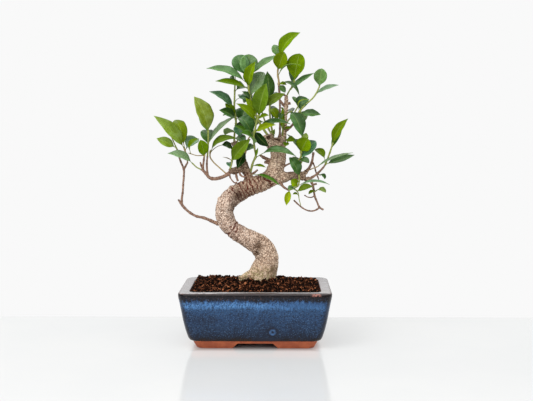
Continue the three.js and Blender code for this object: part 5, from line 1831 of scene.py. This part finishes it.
@dataclass
class LeafPattern:
    """One flat leaf blade and one straight stalk, which every leaf is bent from.

    Attributes:
        across: Faces from edge to edge.
        lengthwise: Faces from stalk to tip.
        skin: Thickness of the blade in millimetres.
        fold: How far each half is folded up from the midrib.
        stalk_radii: Radii of the stalk's rings in millimetres, on a leaf of 15 mm.
        stalk_sides: Faces round the stalk.
        edge_on: The least part of its width that a leaf shows to the front.
        places: The blade's vertices, x across, y along, and z its face.
        faces: The blade's faces.
    """

    across: int = 8
    lengthwise: int = 16
    skin: float = 0.45
    fold: float = math.radians(24)
    stalk_radii: tuple[float, ...] = (0.87, 0.58, 0.493, 0.464, 0.435, 0.232)
    stalk_sides: int = 6
    edge_on: float = 0.62
    places: Array = field(init=False)
    faces: list[list[int]] = field(init=False)

    def __post_init__(self) -> None:
        """Models the blade."""
        count = {"x_subdivisions": self.across, "y_subdivisions": self.lengthwise}
        blade = start(bpy.ops.mesh.primitive_grid_add, size=2, **count)
        open_mesh()
        raise_plate(1)
        close_mesh()
        places = get_points(blade.data)
        places[:, 1] = (places[:, 1] + 1) / 2
        places[:, 2] = places[:, 2] * 2 - 1
        self.places = places
        self.faces = [list(face.vertices) for face in blade.data.polygons]
        bpy.data.objects.remove(blade)

    @staticmethod
    def outline(share: Array, broadness: float) -> Array:
        """Shapes a blade: slender ones taper to a point, broad ones are widest near a blunt tip.

        Args:
            share: Places along the blade, from its base (0) to its tip (1).
            broadness: 0 for a slender blade, 1 for a broad one.

        Returns:
            The half width there, as a share of its widest.
        """
        wave = np.sin(np.pi * np.clip(share, 0, 1) ** (0.86 + 0.3 * broadness)).clip(0)
        taper = (1 - broadness) * 0.38 * smooth_step(0.4, 1, share) + 0.4 * smooth_step(0.93, 1, share)
        return wave ** (0.62 + 0.4 * smooth_step(0.45, 0, share) + taper)

    def bend(self, leaf: Leaf, root: Array, seed: int) -> Array:
        """Bends the blade along a leaf's midrib.

        Args:
            leaf: The leaf.
            root: Where its stalk starts, in millimetres.
            seed: Gives the leaf its own waves and twist.

        Returns:
            The blade's vertices in millimetres.
        """
        dice = random.Random(seed)
        side, share, face = self.places.T
        centre, aside, normal = self.midrib(leaf, root, leaf.stalk + (1 - leaf.stalk) * share)
        half_width = leaf.width / 2 / max(math.cos(math.radians(leaf.face)), self.edge_on)
        reach = np.linalg.norm(np.array(leaf.tip) - root) * (1 - leaf.stalk)
        broadness = float(smooth_step(0.44, 0.72, 2 * half_width / reach))
        half = np.maximum(half_width * self.outline(share, broadness), 0.1 + 0.35 * (1 - share))
        out = np.abs(side)
        rise = half * out**1.2 * math.tan(self.fold) * dice.uniform(0.75, 1.15)
        waves = dice.uniform(2.2, 3.6)
        first = dice.uniform(0, 6.28)
        swing = 0.05 * leaf.width * dice.uniform(0.3, 1.0)
        wave = np.sin(waves * TURN * share + first + (side > 0) * 1.9)
        rise += swing * out**2 * wave * np.sin(np.pi * share)
        twist = math.radians(dice.uniform(-9, 9)) * (share - 0.3)
        rise += np.sin(twist) * side * half
        lift = rise + face * (self.skin / 2 * (1 - 0.55 * out))
        return centre + aside * (side * half)[:, None] + normal * lift[:, None]

    def narrower_half(self, places: Array) -> int:
        """Returns 1 or -1 for the half of a bent blade that is turned further from the front."""
        middle = self.places[:, 1].round(3) == 0.5
        rows = places[middle][np.argsort(self.places[middle, 0])][:, [0, 2]]
        left, right = rows[0] - rows[len(rows) // 2], rows[-1] - rows[len(rows) // 2]
        return -1 if np.linalg.norm(left) < np.linalg.norm(right) else 1

    def midrib(self, leaf: Leaf, root: Array, shares: Array) -> tuple[Array, ...]:
        """Lays the arched line that a leaf's stalk and blade follow.

        Args:
            leaf: The leaf.
            root: Where its stalk starts, in millimetres.
            shares: Places along the line, from 0 to 1.

        Returns:
            The points there, and the unit directions aside and up.
        """
        tip = np.array(leaf.tip, dtype=float)
        length = np.linalg.norm(tip - root)
        chord = (tip - root) / length
        turn = math.radians(leaf.face)

        def square(direction: Array) -> Array:
            """Returns the part of a direction that is square to the chord."""
            return unit(direction - chord * direction.dot(chord))

        front = square(np.array([0, -1, 0.02]))
        sky = square(np.array([0.02, 0, 1]))
        upper = square(front * math.cos(turn) + sky * math.sin(turn))
        crest = (root + tip) / 2 + upper * 2 * leaf.arch * length
        t = np.asarray(shares)[:, None]
        centre = (1 - t) ** 2 * root + 2 * t * (1 - t) * crest + t**2 * tip
        along = unit(2 * (1 - t) * (crest - root) + 2 * t * (tip - crest))
        aside = unit(np.cross(along, upper))
        return centre, aside, np.cross(aside, along)

    def stalk(self, leaf: Leaf, root: Array) -> tuple[Array, list[list[int]]]:
        """Lays a leaf's stalk, swollen where it leaves the stem.

        Args:
            leaf: The leaf.
            root: Where its stalk starts, in millimetres.

        Returns:
            Its vertices in millimetres, and its faces.
        """
        rings = len(self.stalk_radii)
        centre, aside, normal = self.midrib(leaf, root, np.linspace(0, leaf.stalk + 0.05, rings))
        radii = np.array(self.stalk_radii) * (0.75 + leaf.width / 60)
        angles = np.arange(self.stalk_sides) * TURN / self.stalk_sides
        places = [
            centre[k] + radii[k] * (math.cos(a) * aside[k] + 0.85 * math.sin(a) * normal[k]) - normal[k] * 0.1
            for k in range(rings)
            for a in angles
        ]
        return np.array(places), ring_faces(rings, self.stalk_sides)


@dataclass
class Bits:
    """Vertices, faces and dressing of a shoot while it is put together."""

    places: list[Array] = field(default_factory=list)
    tints: list[Array] = field(default_factory=list)
    across: list[Array] = field(default_factory=list)
    faces: list[list[int]] = field(default_factory=list)
    slots: list[int] = field(default_factory=list)
    count: int = 0

    def add(self, places: Array, faces: list, tint: Array, slots: list, uv: Array) -> None:
        """Adds a part.

        Args:
            places: Its vertices in millimetres.
            faces: Its faces.
            tint: One colour, or one for each vertex.
            slots: Each face's material slot.
            uv: One pair for each vertex.
        """
        self.places.append(places)
        self.tints.append(np.broadcast_to(tint, (len(places), 3)))
        self.across.append(uv)
        self.faces += [[corner + self.count for corner in face] for face in faces]
        self.slots += slots
        self.count += len(places)

    def add_green(self, places: Array, faces: list, tint: Array) -> None:
        """Adds a stem or a stalk of one colour."""
        self.add(places, faces, tint, [2] * len(faces), np.full((len(places), 2), 0.5))

    def finish(self, name: str, materials: list[Material]) -> Piece:
        """Makes the object.

        Args:
            name: Its name.
            materials: Its material slots.

        Returns:
            The object.
        """
        shoot = put_together(name, np.vstack(self.places), self.faces)
        mesh = shoot.data
        coat(shoot, *materials)
        mesh.polygons.foreach_set("material_index", self.slots)
        mesh.polygons.foreach_set("use_smooth", [True] * len(self.faces))
        tints = np.hstack([np.vstack(self.tints), np.ones((self.count, 1))])
        put_attribute(mesh, "tint", tints, "FLOAT_COLOR")
        corners = np.concatenate([np.array(face) for face in self.faces])
        layer = mesh.uv_layers.new(name="leaf")
        layer.data.foreach_set("uv", np.vstack(self.across)[corners].astype(np.float32).ravel())
        mesh.update()
        return shoot


@dataclass
class Foliage:
    """All leafy shoots of the tree.

    Attributes:
        pattern: What its leaves are bent from.
        stem_sides: Faces round a stem.
        bud: Length of an end bud in millimetres.
        sheen_tones: The tones whose two halves get the strongest painted sheen and painted shade.
    """

    pattern: LeafPattern = field(default_factory=LeafPattern)
    stem_sides: int = 8
    bud: float = 3.2
    sheen_tones: tuple[Tone, ...] = (Tone.DARK, Tone.TEAL, Tone.GLOSSY)

    def build(self) -> None:
        """Builds the shoots, one piece for each solid."""
        upper = LeafFinish("leaf_upper", 0.28, 0.3, 0.0).make()
        under = LeafFinish("leaf_underside", 0.6, 0.9, 0.4).make()
        stem = StemFinish().make()
        for plan in SHOOTS:
            self.shoot(plan, [upper, under, stem])
        LOG.info("foliage: %d shoots, %d leaves", len(SHOOTS), sum(len(plan.leaves) for plan in SHOOTS))

    def shoot(self, plan: ShootPlan, materials: list[Material]) -> None:
        """Builds one shoot.

        Args:
            plan: The shoot's plan.
            materials: The leaves' upper face and underside, and the stem.
        """
        bits = Bits()
        lines = [smooth_line(stem, 8) / MM for stem in plan.stems]
        for index, line in enumerate(lines):
            roots = [leaf.share for leaf in plan.leaves if leaf.stem == index]
            self.lay_stem(bits, line, roots, plan.stem_tone)
        for index, leaf in enumerate(plan.leaves):
            seed = sum(ord(letter) for letter in plan.node) * 31 + index
            self.lay_leaf(bits, leaf, at_share(lines[leaf.stem], leaf.share), plan.stem_tone, seed)
        shoot = bits.finish("leafy_" + plan.node, materials)
        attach(shoot, "root")
        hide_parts(plan.node)

    def lay_leaf(self, bits: Bits, leaf: Leaf, root: Array, stem_tone: StemTone, seed: int) -> None:
        """Adds one leaf to a shoot.

        Args:
            bits: The shoot so far.
            leaf: The leaf.
            root: Where it grows from, in millimetres.
            stem_tone: Colour of the stem that bears it.
            seed: Gives the leaf its own shade.
        """
        dice = random.Random(seed)
        pattern = self.pattern
        across, along, face_side = pattern.places.T
        slots = [0 if all(face_side[corner] > 0 for corner in face) else 1 for face in pattern.faces]
        tone = np.array(leaf.tone.value) * dice.uniform(0.85, 1.15)
        tone *= np.array([dice.uniform(0.9, 1.12), 1.0, dice.uniform(0.85, 1.15)])
        places = pattern.bend(leaf, root, seed)
        # Painted sheen and painted shade: the half of the blade turned further from the front is tinted
        # lighter and the other half darker, nearly twice as strongly on dark, teal and glossy leaves.
        sheen_contrast = 1.9 if leaf.tone in self.sheen_tones else 1.0
        narrower = pattern.narrower_half(places)
        half_sheen = 1 + sheen_contrast * dice.uniform(0.1, 0.24) * np.clip(2.5 * narrower * across, -1, 1)
        uv = np.column_stack([(across + 1) / 2, along])
        bits.add(places, pattern.faces, tone * half_sheen[:, None], slots, uv)
        tint = 0.55 * np.array(leaf.tone.value) + 0.45 * np.array(stem_tone.value)
        bits.add_green(*pattern.stalk(leaf, root), tint)

    def lay_stem(self, bits: Bits, line: Array, roots: list[float], tone: StemTone) -> None:
        """Adds a stem, swollen at each leaf's root, with a pointed bud where a leaf grows near its end.

        Args:
            bits: The shoot so far.
            line: Rows of x, y, z and radius in millimetres.
            roots: Shares of its length at which leaves grow.
            tone: Its colour.
        """
        along = run_along(line)
        centres, radii = line[:, :3], line[:, 3].copy()
        for root in roots:
            radii += 0.22 * line[:, 3] * np.exp(-(((along - root * along[-1]) / 1.1) ** 2))
        if any(root > 0.9 for root in roots):
            ahead = centres[-1] - centres[-2]
            ahead /= np.linalg.norm(ahead)
            reach = np.array([0.35, 0.7, 1.0]) * self.bud
            centres = np.vstack([centres, centres[-1] + ahead * reach[:, None]])
            radii = np.concatenate([radii, radii[-1] * np.array([0.85, 0.5, 0.12])])
        angles = np.arange(self.stem_sides) * TURN / self.stem_sides
        places = []
        for centre, radius, (_, across, aside) in zip(centres, radii, frames_along(centres)):
            places += [centre + radius * (math.cos(a) * across + math.sin(a) * aside) for a in angles]
        faces = [list(reversed(face)) for face in ring_faces(len(centres), self.stem_sides)]
        bits.add_green(np.array(places), faces, np.array(tone.value))


# ---------- studio


@dataclass
class Studio:
    """Pale table, soft lights and the camera.

    Attributes:
        table_back: How far behind the pot the table ends, in metres.
        table_reach: How far before the pot it starts.
        camera_place: Where the camera stands.
        camera_tilt: How far it looks down, in degrees.
        camera_turn: How far it looks to the left.
        lens: Its focal length in millimetres.
        sun_heading: Which way the broad light from the upper left shines.
        aim: What the two soft square lights look at.
        lamps: Their names, places, sides in metres and power in watts.
        glow: How strongly the table is lit from within, beside and before the pot.
    """

    table_back: float = 0.119
    table_reach: float = 1.6
    camera_place: Point = (0.0232, -0.938, 0.216)
    camera_tilt: float = -4.32
    camera_turn: float = 0.76
    lens: float = 62.0
    sun_heading: Point = (0.3, 0.7, -0.75)
    aim: Point = (0, 0, 0.14)
    lamps: tuple[tuple[str, Point, float, float], ...] = (
        ("window", (-0.9, -0.9, 1.1), 0.8, 9.0),
        ("reflector", (1.2, -0.8, 0.6), 1.1, 4.0),
    )
    glow: float = 0.42

    def build(self) -> None:
        """Sets up the camera, the lights, the backdrop and the table."""
        self.set_camera()
        self.set_world()
        sun = self.hang("sky_light", "SUN", 1.85, Vector(self.sun_heading))
        sun.data.angle = math.radians(80)
        for name, place, size, power in self.lamps:
            lamp = self.hang(name, "AREA", power, Vector(self.aim) - Vector(place))
            lamp.data.size = size
            lamp.location = place
            lamp.visible_glossy = False
        self.add_table()
        view = bpy.context.scene.view_settings
        view.view_transform = "Standard"
        view.look = "None"

    def set_camera(self) -> None:
        """Puts the camera where the photograph was taken from."""
        camera = bpy.data.cameras.new("camera")
        camera.lens = self.lens
        camera.sensor_width = 36
        holder = hold("camera", camera)
        holder.location = self.camera_place
        holder.rotation_euler = (math.radians(90 + self.camera_tilt), 0, math.radians(self.camera_turn))
        bpy.context.scene.camera = holder

    def hang(self, name: str, kind: str, power: float, heading: Vector) -> Piece:
        """Hangs up a light.

        Args:
            name: Its name.
            kind: SUN or AREA.
            power: Its power.
            heading: Which way it shines.

        Returns:
            The light.
        """
        lamp = bpy.data.lights.new(name, kind)
        lamp.energy = power
        holder = hold(name, lamp)
        holder.rotation_euler = heading.to_track_quat("-Z", "Y").to_euler()
        return holder

    def set_world(self) -> None:
        """Makes the bright plain backdrop, which lights the plant less than it shines."""
        world = bpy.data.worlds.new("backdrop")
        world.use_nodes = True
        bpy.context.scene.world = world
        sky = Nodes(world.node_tree)
        wall = sky.tree.nodes["Background"]
        sky.plug(wall.inputs["Color"], paint(249, 249, 249))
        glow = sky.add("Background", {"Color": (0.97, 0.98, 1.0), "Strength": 0.58})
        shine = sky.add("Background", {"Color": (1, 1, 1), "Strength": self.shine(sky)})
        ray = sky.add("LightPath").outputs
        seen = sky.add("MixShader", {0: ray["Is Glossy Ray"], 1: glow.outputs[0], 2: shine.outputs[0]})
        seen = sky.add("MixShader", {0: ray["Is Camera Ray"], 1: seen.outputs[0], 2: wall.outputs[0]})
        sky.plug(sky.tree.nodes["World Output"].inputs[0], seen.outputs[0])

    def shine(self, sky: Nodes) -> Level:
        """Makes the studio's shine: dim before the plant, brighter behind and overhead.

        Args:
            sky: The world's nodes.

        Returns:
            How bright it is.
        """
        _, behind, above = sky.axes(sky.add("TexCoord").outputs["Generated"])
        levels = []
        for axis, low, high, least, most in ((behind, -0.4, 0.5, 0.2, 0.62), (above, 0.25, 0.8, 0.0, 1.8)):
            inputs = {"Value": axis, "From Min": low, "From Max": high, "To Min": least, "To Max": most}
            levels.append(sky.add("MapRange", inputs).outputs["Result"])
        return sky.math("ADD", *levels)

    def add_table(self) -> None:
        """Lays the table top, and lights it from within but for where the pot stands."""
        table = start(bpy.ops.mesh.primitive_plane_add, size=2)
        places = get_points(table.data)
        places[:, 0] *= 2.0
        places[:, 1] = np.where(places[:, 1] > 0, self.table_back, -self.table_reach)
        set_points(table.data, places)
        table.name = "table_top"
        finish = Finish("satin_white_table", paint(178, 178, 177))
        x, y, _ = finish.axes(finish.place())
        beside = finish.rise_mm(abs(x), 50, 68)
        before = finish.rise_mm(abs(y), 36, 52)
        glow = finish.math("MAXIMUM", beside, before) * self.glow
        finish.lay(finish.patches(0.3, 0.7, finish.place(), 200, 3), paint(172, 173, 173))
        light = {"Emission_Color": (*paint(237, 238, 237), 1), "Emission_Strength": glow}
        coat(table, finish.dress(Roughness=0.12, **light))


def main() -> None:
    """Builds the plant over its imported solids, piece by piece."""
    logging.basicConfig(level=logging.INFO, format="%(name)s %(message)s", stream=sys.stdout)
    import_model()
    clear_selection()
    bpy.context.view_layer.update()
    for part in (Pot(), DrainNets(), SoilBed(), Wood(), Foliage(), Studio()):
        part.build()
        LOG.info("done: %s", type(part).__name__)
    clear_selection()


if __name__ == "__main__":
    main()
